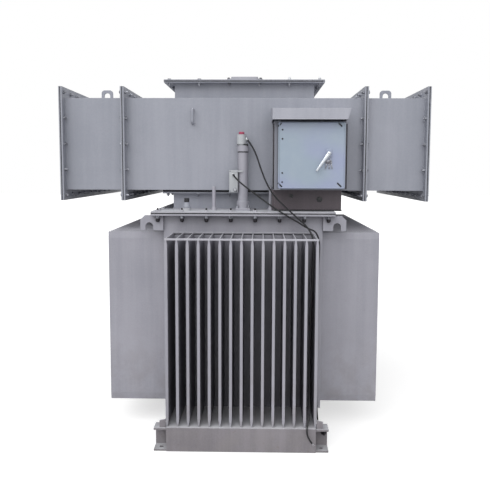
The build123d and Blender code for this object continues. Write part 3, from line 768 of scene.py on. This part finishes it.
fasten("lid_bolt_nuts", "bare nut", [((x, y, flange_low.z), down) for x, y in lid_places])
bolt_end_z = flange_low.z - hex_height - 0.001
bolt_ends = [((x, y, bolt_end_z), down) for x, y in lid_places]
fasten("lid_bolt_ends", "bolt end", bolt_ends, dark_steel)

# %% [markdown]
# The duct's joints are bolted all round through their proud rims, nuts on the inner rim and low
# heads on the outer one. The end covers have welded studs, so only their inner sides carry nuts.
# The throat's cover and the neck's rim are bolted in the same way. Two of the throat's front bolts
# are longer spares and stand taller.

# %% Duct, throat and neck bolts
duct_low, duct_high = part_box("duct_middle")
outer_low, outer_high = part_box("duct_right")
rim_proud, rim_thickness = 0.048, 0.007
inner_face, joint_face = duct_high.x - rim_thickness, outer_low.x + rim_thickness
end_face = outer_high.x - rim_thickness
rim_half_y = duct_high.y - rim_proud / 2
rim_half_z = (duct_high.z - duct_low.z - rim_proud) / 2
duct_middle_z = (duct_high.z + duct_low.z) / 2
rim_places = [(y, duct_middle_z + z) for y, z in ring(rim_half_y, rim_half_z, 12, 5)]
duct_heads, duct_nuts = [], []
for side in (-1, 1):
    for y, z in rim_places:
        duct_nuts += [((side * x, y, z), (-side, 0, 0)) for x in (inner_face, end_face)]
        duct_heads.append(((side * joint_face, y, z), (side, 0, 0)))
fasten("duct_bolt_heads", "small head", duct_heads)
fasten("duct_bolt_nuts", "small nut", duct_nuts)

flange_inset, throat_rim = 0.0225, 0.005
spare_x, spare_y = 0.15, -0.58
_, throat_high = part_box("throat")
_, neck_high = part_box("neck")
_, cover_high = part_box("throat_cover")
throat_places = ring(throat_high.x - flange_inset, throat_high.y - flange_inset, 6, 9)
neck_places = ring(neck_high.x - flange_inset, neck_high.y - flange_inset, 6, 8)
under = [((x, y, throat_high.z - throat_rim), down) for x, y in throat_places]
under += [((x, y, neck_high.z - rim_thickness), down) for x, y in neck_places]
fasten("throat_and_neck_nuts", "small nut", under)
common, spare = [], []
for x, y in throat_places:
    (spare if x > spare_x and y < spare_y else common).append(((x, y, cover_high.z), up))
fasten("throat_bolt_heads", "low head", common)
fasten("throat_tall_bolts", "small nut", spare, bright_zinc)
print("bolts at a duct joint", len(rim_places), "tall ones", len(spare))

# %% [markdown]
# ## Weld beads
# Sheets that meet are joined by a fillet weld, a rippled ridge along the corner. A bead could be
# sculpted or painted as bump, but it shows on the outline of every corner, so it is real here. It
# follows a path, which is Geometry Nodes' second strength: the edges of a seed mesh become a
# curve, the curve is divided at the ripple's step, and a small ring sweeps along it, a little
# larger at every second point and uneven by a seeded chance. Without ripple it draws a rolled
# edge.

# %% Bead tree
bead_sizes = ("Radius", "Step", "Ripple")
bead_tree, graph = new_tree("Bead", bead_sizes)
radius, step, ripple = (tree_input(graph, label) for label in bead_sizes)
line = graph.node("GeometryNodeMeshToCurve", {}, {"Mesh": tree_input(graph, "Seeds")})
line = graph.node("GeometryNodeResampleCurve", {"mode": "LENGTH"}, {"Curve": line, "Length": step})
every_second = graph.node("GeometryNodeInputIndex") % 2.0
uneven = graph.node(
    "FunctionNodeRandomValue", {"data_type": "FLOAT"}, {"Min": -0.5, "Max": 0.5, "Seed": 11}
)
swell = (every_second - 0.5 + uneven) * ripple + 1.0
profile = graph.node(
    "GeometryNodeCurvePrimitiveCircle", {"mode": "RADIUS"}, {"Resolution": 6, "Radius": radius}
)
bead = graph.node(
    "GeometryNodeCurveToMesh", {},
    {"Curve": line, "Profile Curve": profile, "Scale": swell, "Fill Caps": True},
)
tree_end(graph, bead)


def lay_bead(name, runs, sizes, finish, slot, body="transformer"):
    """A ridge along runs, each a list of places and whether it closes on itself"""
    points, edges = [], []
    for places, closed in runs:
        first = len(points)
        points += places
        edges += [(first + step, first + step + 1) for step in range(len(places) - 1)]
        if closed:
            edges.append((len(points) - 1, first))
    mesh = bpy.data.meshes.new("Runs")
    mesh.from_pydata(points, edges, [])
    return grow(name, mesh, bead_tree, dict(zip(bead_sizes, sizes)), finish, slot, body)


def level_loop(half_x, half_y, z, middle=(0, 0)):
    """A closed rectangle at a height"""
    signs = ((-1, -1), (1, -1), (1, 1), (-1, 1))
    return [(middle[0] + a * half_x, middle[1] + b * half_y, z) for a, b in signs], True


print("bead tree of", len(bead_tree.nodes), "nodes")

# %% Welds
weld_ripple = 0.22
pipe_inset = 0.045
wall_x, wall_y, wall_top = 0.358, 0.740, flange_low.z
lug_low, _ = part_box("tank_lifting_lugs")
lug_thickness = 0.015
tank_runs = [
    level_loop(wall_x, wall_y, wall_top),
    level_loop(neck_high.x - pipe_inset, neck_high.y - pipe_inset, lid_high.z),
]
for side_x in (-1, 1):
    for side_y in (-1, 1):
        x, y = side_x * wall_x, side_y * (wall_y - lug_thickness)
        tank_runs.append(([(x, y, lug_low.z), (x, y, wall_top)], False))
lay_bead("tank_welds", tank_runs, (0.0035, 0.0036, weld_ripple), tank_paint, "tank_paint")

fin_drop = 0.080
end_fins_half, side_fins_half, sunk = 0.315, 0.675, 0.0004
# A pale bead runs along the top of the fins; under it a dark rubber bead paints the shadow beneath
# that seam
for name, bead_radius, rise, finish, slot in (
    ("fin_seam", 0.0030, 0.0020, pale_dust_and_highlight_paint, "tank_paint"),
    ("fin_seam_shadow", 0.0024, -0.0055, rubber, "gasket"),
):
    z, seams = wall_top - fin_drop + rise, []
    for side in (-1, 1):
        x, y = side * (wall_x - sunk), side * (wall_y - sunk)
        seams.append(([(-end_fins_half, y, z), (end_fins_half, y, z)], False))
        seams.append(([(x, -side_fins_half, z), (x, side_fins_half, z)], False))
    lay_bead(name, seams, (bead_radius, 0.012, 0.05), finish, slot)

trunk_y = duct_high.y - rim_proud
trunk_bottom, trunk_top = duct_low.z + rim_proud, duct_high.z - rim_proud
duct_runs = [level_loop(throat_high.x - pipe_inset, throat_high.y - pipe_inset, trunk_top)]
for x in [side * face for side in (-1, 1) for face in (inner_face, joint_face, end_face)]:
    duct_runs.append(([
        (x, -trunk_y, trunk_bottom), (x, trunk_y, trunk_bottom),
        (x, trunk_y, trunk_top), (x, -trunk_y, trunk_top),
    ], True))
_, loop_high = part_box("duct_lifting_loops")
loop_half, loop_thickness, loop_y = 0.029, 0.010, 0.240
for side in (-1, 1):
    for y in (-loop_y, loop_y):
        middle = (side * (loop_high.x - loop_half), y)
        duct_runs.append(level_loop(loop_half, loop_thickness / 2, trunk_top, middle))
lay_bead("duct_welds", duct_runs, (0.003, 0.005, weld_ripple), duct_paint, "duct_paint")

# %% Rings of weld
riser_low, riser_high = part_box("riser_pipe")
riser_x, riser_y = (riser_low.x + riser_high.x) / 2, (riser_low.y + riser_high.y) / 2
grab_low, grab_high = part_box("grab_handle")


def turns(count):
    """Evenly spaced angles once round"""
    return [2 * math.pi * step / count for step in range(count)]


def circle(middle, radius, first=(1, 0, 0), second=(0, 1, 0), count=24):
    """A closed ring of places about a middle, in the plane of two directions"""
    reaches = [
        radius * (math.cos(a) * Vector(first) + math.sin(a) * Vector(second)) for a in turns(count)
    ]
    return [tuple(Vector(middle) + reach) for reach in reaches], True


foot_top, foot_half = 0.012, 0.033
step_top, step_radius, pipe_radius = 0.044, 0.028, 0.0225
small_runs = [
    circle((riser_x, riser_y, riser_low.z + foot_top), step_radius),
    circle((riser_x, riser_y, riser_low.z + step_top), pipe_radius),
    level_loop(foot_half, foot_half, riser_low.z, (riser_x, riser_y)),
]
grab_x, rod = (grab_low.x + grab_high.x) / 2, 0.006
for z in (grab_low.z + rod, grab_high.z - rod):
    small_runs.append(circle((grab_x, -trunk_y, z), rod, second=up, count=12))
lay_bead("small_welds", small_runs, (0.0022, 0.0028, 0.2), duct_paint, "duct_paint")
print("rings about the riser at", round(riser_x, 3), round(riser_y, 3))

# %% [markdown]
# The throat's gasket was squeezed out of its joint when the cover was pulled down, so a thin dark
# ridge of rubber runs round under the cover.

# %% Squeezed gasket
gasket_low, gasket_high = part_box("throat_gasket")
gasket_z, ridge_in = (gasket_low.z + gasket_high.z) / 2, 0.001
ridge = level_loop(cover_high.x - ridge_in, cover_high.y - ridge_in, gasket_z)
lay_bead("throat_seal", [ridge], (0.0028, 0.012, 0.06), rubber, "gasket")

# %% [markdown]
# ## Turned and rounded parts
# Glands, plugs, rings and locks are turned on a lathe or moulded with rounded edges. Helpers draw
# them into one mesh in progress, so a fitting of several parts stays one piece: one skins rows of
# points, one turns a profile about an axis, one wraps a sleeve round a cable, one bevels a block.

# %% Lathe and block
def stood(place, direction):
    """A frame at a place whose Z runs along a direction"""
    turned = Vector(direction).to_track_quat("Z", "X").to_matrix().to_4x4()
    return Matrix.Translation(place) @ turned


def add_skin(work, rings):
    """Faces from each ring of vertices to the next, and one across each end"""
    sides = len(rings[0])
    for low, high in zip(rings, rings[1:]):
        for side in range(sides):
            after = (side + 1) % sides
            work.faces.new((low[side], low[after], high[after], high[side]))
    work.faces.new(rings[0][::-1])
    work.faces.new(rings[-1])


def add_turned(work, place, direction, profile, sides=24, dip=0.0):
    """Rings of (distance, radius) along an axis; dip pulls every second side in"""
    frame_here = stood(place, direction)
    rings = []
    for distance, radius in profile:
        spots = []
        for side, angle in enumerate(turns(sides)):
            reach = radius * (1 - dip * (side % 2))
            spot = Vector((reach * math.cos(angle), reach * math.sin(angle), distance))
            spots.append(work.verts.new(frame_here @ spot))
        rings.append(spots)
    add_skin(work, rings)


def add_sleeve(work, line, radii, sides=16):
    """A tapered sleeve whose middle follows a line's first points"""
    rings = []
    for spot, after, radius in zip(line, line[1:], radii):
        around = stood(spot, after - spot)
        rim = [Vector((radius * math.cos(a), radius * math.sin(a), 0)) for a in turns(sides)]
        rings.append([work.verts.new(around @ place) for place in rim])
    add_skin(work, rings)


def add_block(work, low, high, rounding, turn=None):
    """A box between two corners with rounded edges, turned about its middle if told"""
    low, high = Vector(low), Vector(high)
    shape = Matrix.Diagonal((*(high - low), 1))
    place = Matrix.Translation((low + high) / 2) @ (turn or Matrix.Identity(4)) @ shape
    made = bmesh.ops.create_cube(work, size=1, matrix=place)["verts"]
    edges = list(dict.fromkeys(edge for vertex in made for edge in vertex.link_edges))
    bmesh.ops.bevel(work, geom=edges, offset=rounding, segments=2, affect="EDGES", profile=0.5)


def finished(name, work, finish, slot, body="transformer"):
    """A mesh in progress as a piece with its finish"""
    mesh = bpy.data.meshes.new(name)
    work.to_mesh(mesh)
    work.free()
    mesh.materials.append(finish)
    print(name, len(mesh.polygons), "faces")
    return as_piece(name, mesh, body, slot)


# %% [markdown]
# ## The riser's head
# The riser carries a relay head. Its red plug has a milled grip, so a finely ribbed cap stands for
# the plain solid. A rubber ring sits under the collar, a clamp screw holds the head, and both
# cables leave through bright glands with a tapered rubber sleeve that keeps the sheath from
# kinking.

# %% Riser fittings
plug_low, plug_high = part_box("riser_head_plug")
plug_x, plug_radius = (plug_low.x + plug_high.x) / 2, (plug_high.x - plug_low.x) / 2
plug_height = plug_high.z - plug_low.z
plug_shape = [
    (plug_height * rise, plug_radius * width)
    for rise, width in ((0, 0.9), (0.12, 1), (0.8, 1), (1, 0.82))
]
work = bmesh.new()
add_turned(work, (plug_x, riser_y, plug_low.z), up, plug_shape, 36, 0.07)
plug = finished("milled_plug", work, red_plastic, "red_plastic")
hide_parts("riser_head_plug")

collar_low, collar_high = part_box("riser_collar")
ring_height, ring_radius = 0.0045, 0.0240
ring_shape = [(0, 0.0232), (0.001, ring_radius), (ring_height, ring_radius)]
screw_shape = [(0, 0.0020), (0.002, 0.0034), (0.018, 0.0034), (0.0182, 0.0050), (0.022, 0.0050)]
clamp_y, clamp_z = riser_y - 0.0225, collar_high.z + 0.0032
work = bmesh.new()
add_turned(work, (riser_x, riser_y, collar_low.z - ring_height), up, ring_shape, 32)
add_turned(work, (riser_x + 0.002, clamp_y, clamp_z), (1, 0, 0), screw_shape, 12)
knob_place = (riser_x - 0.0215, clamp_y + 0.006, clamp_z)
add_turned(work, knob_place, (-1, 0, 0), [(0, 0.0030), (0.004, 0.0030)], 12)
finished("riser_rings", work, rubber, "gasket")

gland_start, gland_exit = Vector((0.005, -0.660, 1.343)), Vector(head_cable_places[0])
gland_way = (gland_exit - gland_start).normalized()
junction_low, junction_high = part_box("junction_box")
junction_exit = Vector(junction_cable_places[0])
junction_face = Vector((junction_exit.x, junction_exit.y + 0.012, junction_exit.z))
gland_shape = [(0, 0.0092), (0.005, 0.0092), (0.0052, 0.0074), (0.008, 0.0074), (0.0105, 0.0062)]
work = bmesh.new()
add_turned(work, gland_start + gland_way * 0.0075, gland_way, gland_shape, 6)
add_turned(work, junction_face, front, [(d * 0.9, r) for d, r in gland_shape], 6)
finished("cable_glands", work, bright_zinc, "bright_metal")

sleeve_radii = [0.0052, 0.0049, 0.0045, 0.0041, 0.0038]
work = bmesh.new()
add_sleeve(work, head_line, sleeve_radii)
add_sleeve(work, junction_line, sleeve_radii)
finished("cable_sleeves", work, dark_plastic, "dark_plastic")

# %% [markdown]
# The junction box is a small moulded case: a lid with rounded edges and four screws, a blanking
# plug where a second cable could leave, and a strap that holds it to the riser. The riser's foot
# is bolted to the lid at its corners.

# %% Junction box and foot
case_in, strap_proud = 0.0015, 0.0018
case_face = junction_face.y - 0.004
work = bmesh.new()
add_block(
    work, (junction_low.x + case_in, case_face, junction_low.z + case_in),
    (junction_high.x - case_in, junction_face.y + 0.001, junction_high.z - case_in), 0.0018,
)
plug_spot = Vector((junction_high.x - 0.0130, case_face, junction_low.z + 0.0130))
add_turned(work, plug_spot, front, [(0, 0.0062), (0.004, 0.0062), (0.0050, 0.0050)], 20)
add_block(
    work, (junction_low.x + 0.004, case_face - strap_proud, junction_high.z - 0.009),
    (riser_x, case_face + 0.0002, junction_high.z - 0.002), 0.0006,
)
finished("junction_lid", work, grey_plastic, "grey_plastic")
work = bmesh.new()
add_turned(work, plug_spot, front, [(0, 0.0092), (0.002, 0.0092), (0.0026, 0.0080)], 24)
finished("junction_plug_ring", work, zinc, "bright_metal")
corner_in, foot_reach = 0.0055, 0.0255
fasten("junction_screws", "screw", [
    ((x, case_face, z), front)
    for x in (junction_low.x + corner_in, junction_high.x - corner_in)
    for z in (junction_low.z + corner_in, junction_high.z - corner_in)
])
foot_bolts = [
    ((riser_x + a * foot_reach, riser_y + b * foot_reach, riser_low.z + foot_top), up)
    for a in (-1, 1) for b in (-1, 1)
]
fasten("riser_foot_bolts", "foot bolt", foot_bolts)
print("foot bolts", len(foot_bolts))

# %% [markdown]
# The breather stands left of the posts: a pale moulded cone, and on it a black cap with a milled
# grip. Both stand for one solid of the same outline.

# %% Breather
breather_low, breather_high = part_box("breather_cap")
breather_x = (breather_low.x + breather_high.x) / 2
breather_y = (breather_low.y + breather_high.y) / 2
cone_height, grip_radius = 0.025, 0.012
cone_shape = [
    (0, 0.0192), (0.001, 0.0200), (0.004, 0.0200), (0.005, 0.0190),
    (0.0052, 0.0178), (0.024, 0.0124), (cone_height, 0.0112),
]
knob_shape = [(0, 0.0108), (0.001, grip_radius), (0.0172, grip_radius), (0.0192, 0.0098)]
work = bmesh.new()
add_turned(work, (breather_x, breather_y, breather_low.z), up, cone_shape, 32)
cone = finished("breather_cone", work, cone_plastic, "grey_plastic")
work = bmesh.new()
knob_z = breather_low.z + cone_height - 0.0002
add_turned(work, (breather_x, breather_y, knob_z), up, knob_shape, 40, 0.06)
knob = finished("breather_knob", work, dark_plastic, "dark_plastic")
for piece in (cone, knob):
    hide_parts("breather_cap")

# %% [markdown]
# ## The control box
# The door is a folded tray, so its edge is a rolled rim that catches the light, and a rubber seal
# lies between it and the box. Its corners are notched where the folds meet, and dark rubber blocks
# across them paint the shade in the notches. Domed screws hold the hinges, and a cam lock with
# three keys sits beside the handle. All of this swings with the door, so it rides on the door's
# body, and the dome on the handle's pivot rides on the handle.

# %% Door fittings
door_low, door_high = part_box("control_box_door")
door_face = -0.8025
rolled = (0.0032, 0.012, 0.0)


def upright_loop(low, high, y, inset):
    """A closed rectangle that stands across Y"""
    left, right = low.x + inset, high.x - inset
    bottom, top = low.z + inset, high.z - inset
    return [(left, y, bottom), (right, y, bottom), (right, y, top), (left, y, top)], True


rim_loop = upright_loop(door_low, door_high, door_face + 0.0008, 0.0045)
lay_bead("door_rim", [rim_loop], rolled, door_paint, "door_paint", "box_door")
seal_loop = upright_loop(door_low, door_high, door_high.y + 0.0032, 0.013)
lay_bead("door_seal", [seal_loop], rolled, rubber, "gasket", "box_door")

hinge_x, hinge_screw_heights = 0.172, (1.368, 1.329, 1.181, 1.141)
hinge_screws = [((hinge_x, door_face, z), front) for z in hinge_screw_heights]
fasten("hinge_screws", "hinge screw", hinge_screws, dark_steel, body="box_door")

# Dark rubber blocks across the door's corners paint the shade in its notches
notches = (
    (0.1610, 1.3905, -45), (0.4215, 1.3905, 45), (0.1625, 1.1290, 45), (0.4215, 1.1300, 45),
)
half_long, half_wide = 0.0125, 0.0032
work = bmesh.new()
for x, z, tilt in notches:
    add_block(
        work, (x - half_long, door_face - 0.0016, z - half_wide),
        (x + half_long, door_face + 0.001, z + half_wide),
        0.0006, Matrix.Rotation(math.radians(tilt), 4, "Y"),
    )
finished("door_corner_notch_shade", work, rubber, "gasket", "box_door")

# %% [markdown]
# The swing handle is a polished lever, broad at its spindle and narrow at its end, with a dome
# over the spindle. The plain solid is a flat bar, so a lever with rounded sides stands for it. It
# is drawn at its angle, as a row of rounded cross sections: how far along each one stands, and
# half its width and depth.

# %% Lever
pivot = Vector((0.3745, door_face - 0.013, 1.267))
lever_angle = math.radians(35)
lever_length, lever_depth = 0.096, 0.0085
lever_along = Vector((-math.sin(lever_angle), 0, -math.cos(lever_angle)))
lever_across = Vector((math.cos(lever_angle), 0, -math.sin(lever_angle)))
lever_sections = (
    (-0.085, 0.0040, 0.0020), (-0.07, 0.0068, 0.0034), (-0.02, 0.0088, 0.00425),
    (0.12, 0.0088, 0.00425), (0.30, 0.0076, 0.00415), (0.62, 0.0060, 0.0038),
    (0.94, 0.0048, 0.0033), (0.985, 0.0042, 0.0030), (1.0, 0.0026, 0.0018),
)
dome_shape = [(0, 0.0066), (0.0010, 0.0062), (0.0019, 0.0048), (0.0024, 0.0026), (0.0025, 0.0010)]


def squared(value):
    """A sine or cosine drawn outward, which makes an ellipse boxy"""
    return math.copysign(abs(value) ** 0.6, value)


work = bmesh.new()
sections = []
for share, half_width, half_depth in lever_sections:
    middle = pivot + lever_along * (lever_length * share) + Vector((0, -lever_depth / 2, 0))
    spots = []
    for angle in turns(16):
        wide = squared(math.cos(angle)) * half_width
        deep = squared(math.sin(angle)) * half_depth
        spots.append(work.verts.new(middle + lever_across * wide + Vector((0, -deep, 0))))
    sections.append(spots)
add_skin(work, sections)
bmesh.ops.recalc_face_normals(work, faces=work.faces)
add_turned(work, pivot + Vector((0, 0.0135, 0)), front, [(0, 0.0060), (0.0160, 0.0060)], 24)
add_turned(work, pivot + Vector((0, -lever_depth + 0.0008, 0)), front, dome_shape, 24)
lever = finished("swing_lever", work, chrome, "bright_metal", "door_handle")
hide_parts("door_handle")

# %% Lock and keys
lock = Vector((0.3725, door_face - 0.006, 1.2535))
work = bmesh.new()
add_turned(work, lock, front, [(0, 0.0042), (0.0012, 0.0042), (0.0022, 0.0034)], 20)
finished("cam_lock", work, bright_zinc, "bright_metal", "box_door")

key_hang, blade_drop, key_half_thickness = -0.0235, 0.019, 0.0009
work = bmesh.new()
for shift, lean in ((-0.006, 12), (0.002, -4), (0.009, -15)):
    tilt = Matrix.Rotation(math.radians(lean), 4, "Y")
    head_spot = lock + Vector((shift, 0.0020 + shift * 0.15, key_hang))
    blade_spot = head_spot + Vector((-math.tan(math.radians(lean)) * blade_drop, 0, -blade_drop))
    for spot, half_wide, half_tall in ((head_spot, 0.0062, 0.0075), (blade_spot, 0.0026, 0.0125)):
        half = Vector((half_wide, key_half_thickness, half_tall))
        add_block(work, spot - half, spot + half, 0.0006, tilt)
finished("box_keys", work, zinc, "bright_metal", "box_door")
key_ring = circle(lock + Vector((0.001, 0.0018, -0.0120)), 0.0075, second=up, count=20)
lay_bead("key_ring", [key_ring], (0.0008, 0.003, 0.0), bright_zinc, "bright_metal", "box_door")

# %% [markdown]
# A folded gutter runs down both sides of the box's mouth, behind the door, and a rubber seam
# closes the joint between the box and the duct. Both are dark strips that paint the shade in the
# joints beside the door.

# %% Gutter and seam
box_low, box_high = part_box("control_box")
box_mouth, box_foot, box_top = -0.782, 1.106, 1.408
# Dark strips that paint the shade beside the door: a gutter at the mouth and a rubber seam at the
# duct
gutter, seam = bmesh.new(), bmesh.new()
for side, wall in ((-1, box_low.x), (1, box_high.x)):
    for work, proud, near, far in (
        (gutter, 0.0055, box_mouth + 0.0005, box_mouth + 0.003),
        (seam, 0.003, -trunk_y - 0.007, -trunk_y - 0.0005),
    ):
        left, right = sorted((wall - side * 0.0002, wall + side * proud))
        add_block(work, (left, near, box_foot + 0.004), (right, far, box_top - 0.012), 0.0005)
finished("box_gutter_and_shade", gutter, dark_steel, "bright_metal")
finished("box_seam_shadow", seam, rubber, "gasket")

# %% [markdown]
# Inside, the box holds what its cables end on: a zinc-plated plate on the back wall, a rail with a
# row of terminal blocks, and two cable ducts. The blocks repeat, so a small tree makes one of
# them, a body with two screw wells, and sets it on every seed along the rail.

# %% Terminal row
block_sizes = ("Width", "Height", "Depth")
block_tree, graph = new_tree("Terminal blocks", block_sizes)
width, height, depth = (tree_input(graph, label) for label in block_sizes)
size = graph.node("ShaderNodeCombineXYZ", {}, {"X": width, "Y": height, "Z": depth})
body = graph.node("GeometryNodeMeshCube", {}, {"Size": size}, "Mesh")
one_block = [moved(graph, body, Z=depth * 0.5)]
for side in (-1, 1):
    well = turned_part(graph, 10, width * 0.32, width * 0.26, depth * 0.08, depth)
    one_block.append(moved(graph, well, Y=height * (0.3 * side)))
tree_end(graph, copied_to_seeds(graph, joined(graph, one_block), 0.0))

box_back, rail_z = -0.6185, 1.270
inner_left, inner_right = 0.165, 0.425
rail_inset, rail_half, block_count = 0.045, 0.0175, 18
block_places = [
    ((x, box_back - 0.012, rail_z), front)
    for x in spread(inner_left + rail_inset, inner_right - rail_inset, block_count)
]
block = dict(zip(block_sizes, (0.0085, 0.046, 0.034)))
grow(
    "terminal_blocks", seeds_at(block_places), block_tree, block,
    grey_plastic, "grey_plastic", "transformer",
)


def add_inner(work, inset, depth, back_gap, bottom, top, rounding):
    """A block on the back wall of the box, centred between its sides"""
    low = (inner_left + inset, box_back - depth, bottom)
    add_block(work, low, (inner_right - inset, box_back - back_gap, top), rounding)


work = bmesh.new()
add_inner(work, 0.0, 0.004, 0.001, 1.130, 1.385, 0.001)
add_inner(work, 0.025, 0.0115, 0.003, rail_z - rail_half, rail_z + rail_half, 0.001)
finished("mounting_plate", work, zinc, "bright_metal")
work = bmesh.new()
for z in (1.190, 1.350):
    add_inner(work, 0.010, 0.040, 0.003, z - 0.018, z + 0.018, 0.0015)
finished("wiring_ducts", work, grey_plastic, "grey_plastic")

# %% [markdown]
# ## Hood and plinth
# The rain hood's lower edges are folded under, which shows as a light line along the front. The
# plinth below the box has two plugged gland holes in its face and a flange along its left edge.

# %% Hood edge and plinth fittings
hood_low, hood_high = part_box("box_hood")
hood_slant, fold_in = 0.017, 0.001
fold_left, fold_right = hood_low.x + fold_in, hood_high.x - hood_slant - fold_in
fold_front, fold_back, fold_z = hood_low.y + fold_in, -trunk_y - 0.010, hood_low.z + fold_in
hood_edge = [
    (fold_left, fold_back, fold_z), (fold_left, fold_front, fold_z),
    (fold_right, fold_front, fold_z), (fold_right, fold_back, fold_z),
]
lay_bead("hood_fold", [(hood_edge, False)], (0.0022, 0.015, 0.0), hood_paint, "duct_paint")

plugs = ((0.2186, 1.077, 0.0075), (0.3463, 1.061, 0.0100))
plug_steps = ((0, 1.25), (0.003, 1.25), (0.0032, 1), (0.008, 0.9), (0.0085, 0.5))
work = bmesh.new()
for x, z, radius in plugs:
    plug_shape = [(distance, radius * share) for distance, share in plug_steps]
    add_turned(work, (x, plinth_low.y + 0.0005, z), front, plug_shape, 24)
finished("plinth_plugs", work, dark_plastic, "dark_plastic")
work = bmesh.new()
flange_reach = 0.013
add_block(
    work, (plinth_low.x - flange_reach, plinth_low.y + 0.0004, plinth_low.z + 0.001),
    (plinth_low.x + 0.001, plinth_low.y + 0.003, plinth_high.z - 0.001), 0.0008,
)
finished("plinth_flange", work, shaded_plinth_paint, "duct_paint")

# %% [markdown]
# ## Small things on the lid, throat and base
# The hand-hole cover is held by clamp bolts at its sides. The upper edges of the apron plates are
# rolled and catch the light, and their paler paint adds a painted highlight. Two opposite corners
# of the base have an earthing stud. The bare ends of the cables show their two cores.

# %% Covers, aprons, studs and cable ends
hole_low, hole_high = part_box("hand_hole_cover")
clamp_out, clamp_in = 0.012, 0.020
fasten("hand_hole_clamps", "clamp bolt", [
    ((x, y, cover_high.z), up)
    for x in (hole_low.x - clamp_out, hole_high.x + clamp_out)
    for y in (hole_low.y + clamp_in, hole_high.y - clamp_in)
], dark_steel)

apron_low, apron_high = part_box("apron_front")
rolled_radius, end_gap = 0.0016, 0.002
edge_y, edge_z = abs(apron_low.y) - rolled_radius - 0.0002, apron_high.z - 0.0008
edge_ends = (apron_low.x + end_gap, apron_high.x - end_gap)
apron_runs = [([(x, side * edge_y, edge_z) for x in edge_ends], False) for side in (-1, 1)]
lay_bead("apron_edges", apron_runs, (rolled_radius, 0.015, 0.0), pale_dust_and_highlight_paint, "base_paint")

_, channel_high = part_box("base_channel_front")
stud_x, stud_z, web_face = channel_high.x - 0.016, 0.066, 0.949
studs = [((side * stud_x, -side * web_face, stud_z), (0, -side, 0)) for side in (-1, 1)]
fasten("earth_studs", "stud", studs, dark_steel)

core_shape = [(0, 0.0011), (0.010, 0.0011), (0.0102, 0.0006), (0.014, 0.0006)]
core_offset, core_splay = 0.0014, 0.12
work = bmesh.new()
for end_line in (head_line, junction_line):
    way = (end_line[-1] - end_line[-2]).normalized()
    across = way.cross(Vector((0, 1, 0))).normalized()
    for side in (-1, 1):
        start = end_line[-1] + across * (side * core_offset) - way * 0.001
        add_turned(work, start, way + across * (side * core_splay), core_shape, 10)
finished("cable_cores", work, bright_zinc, "bright_metal")
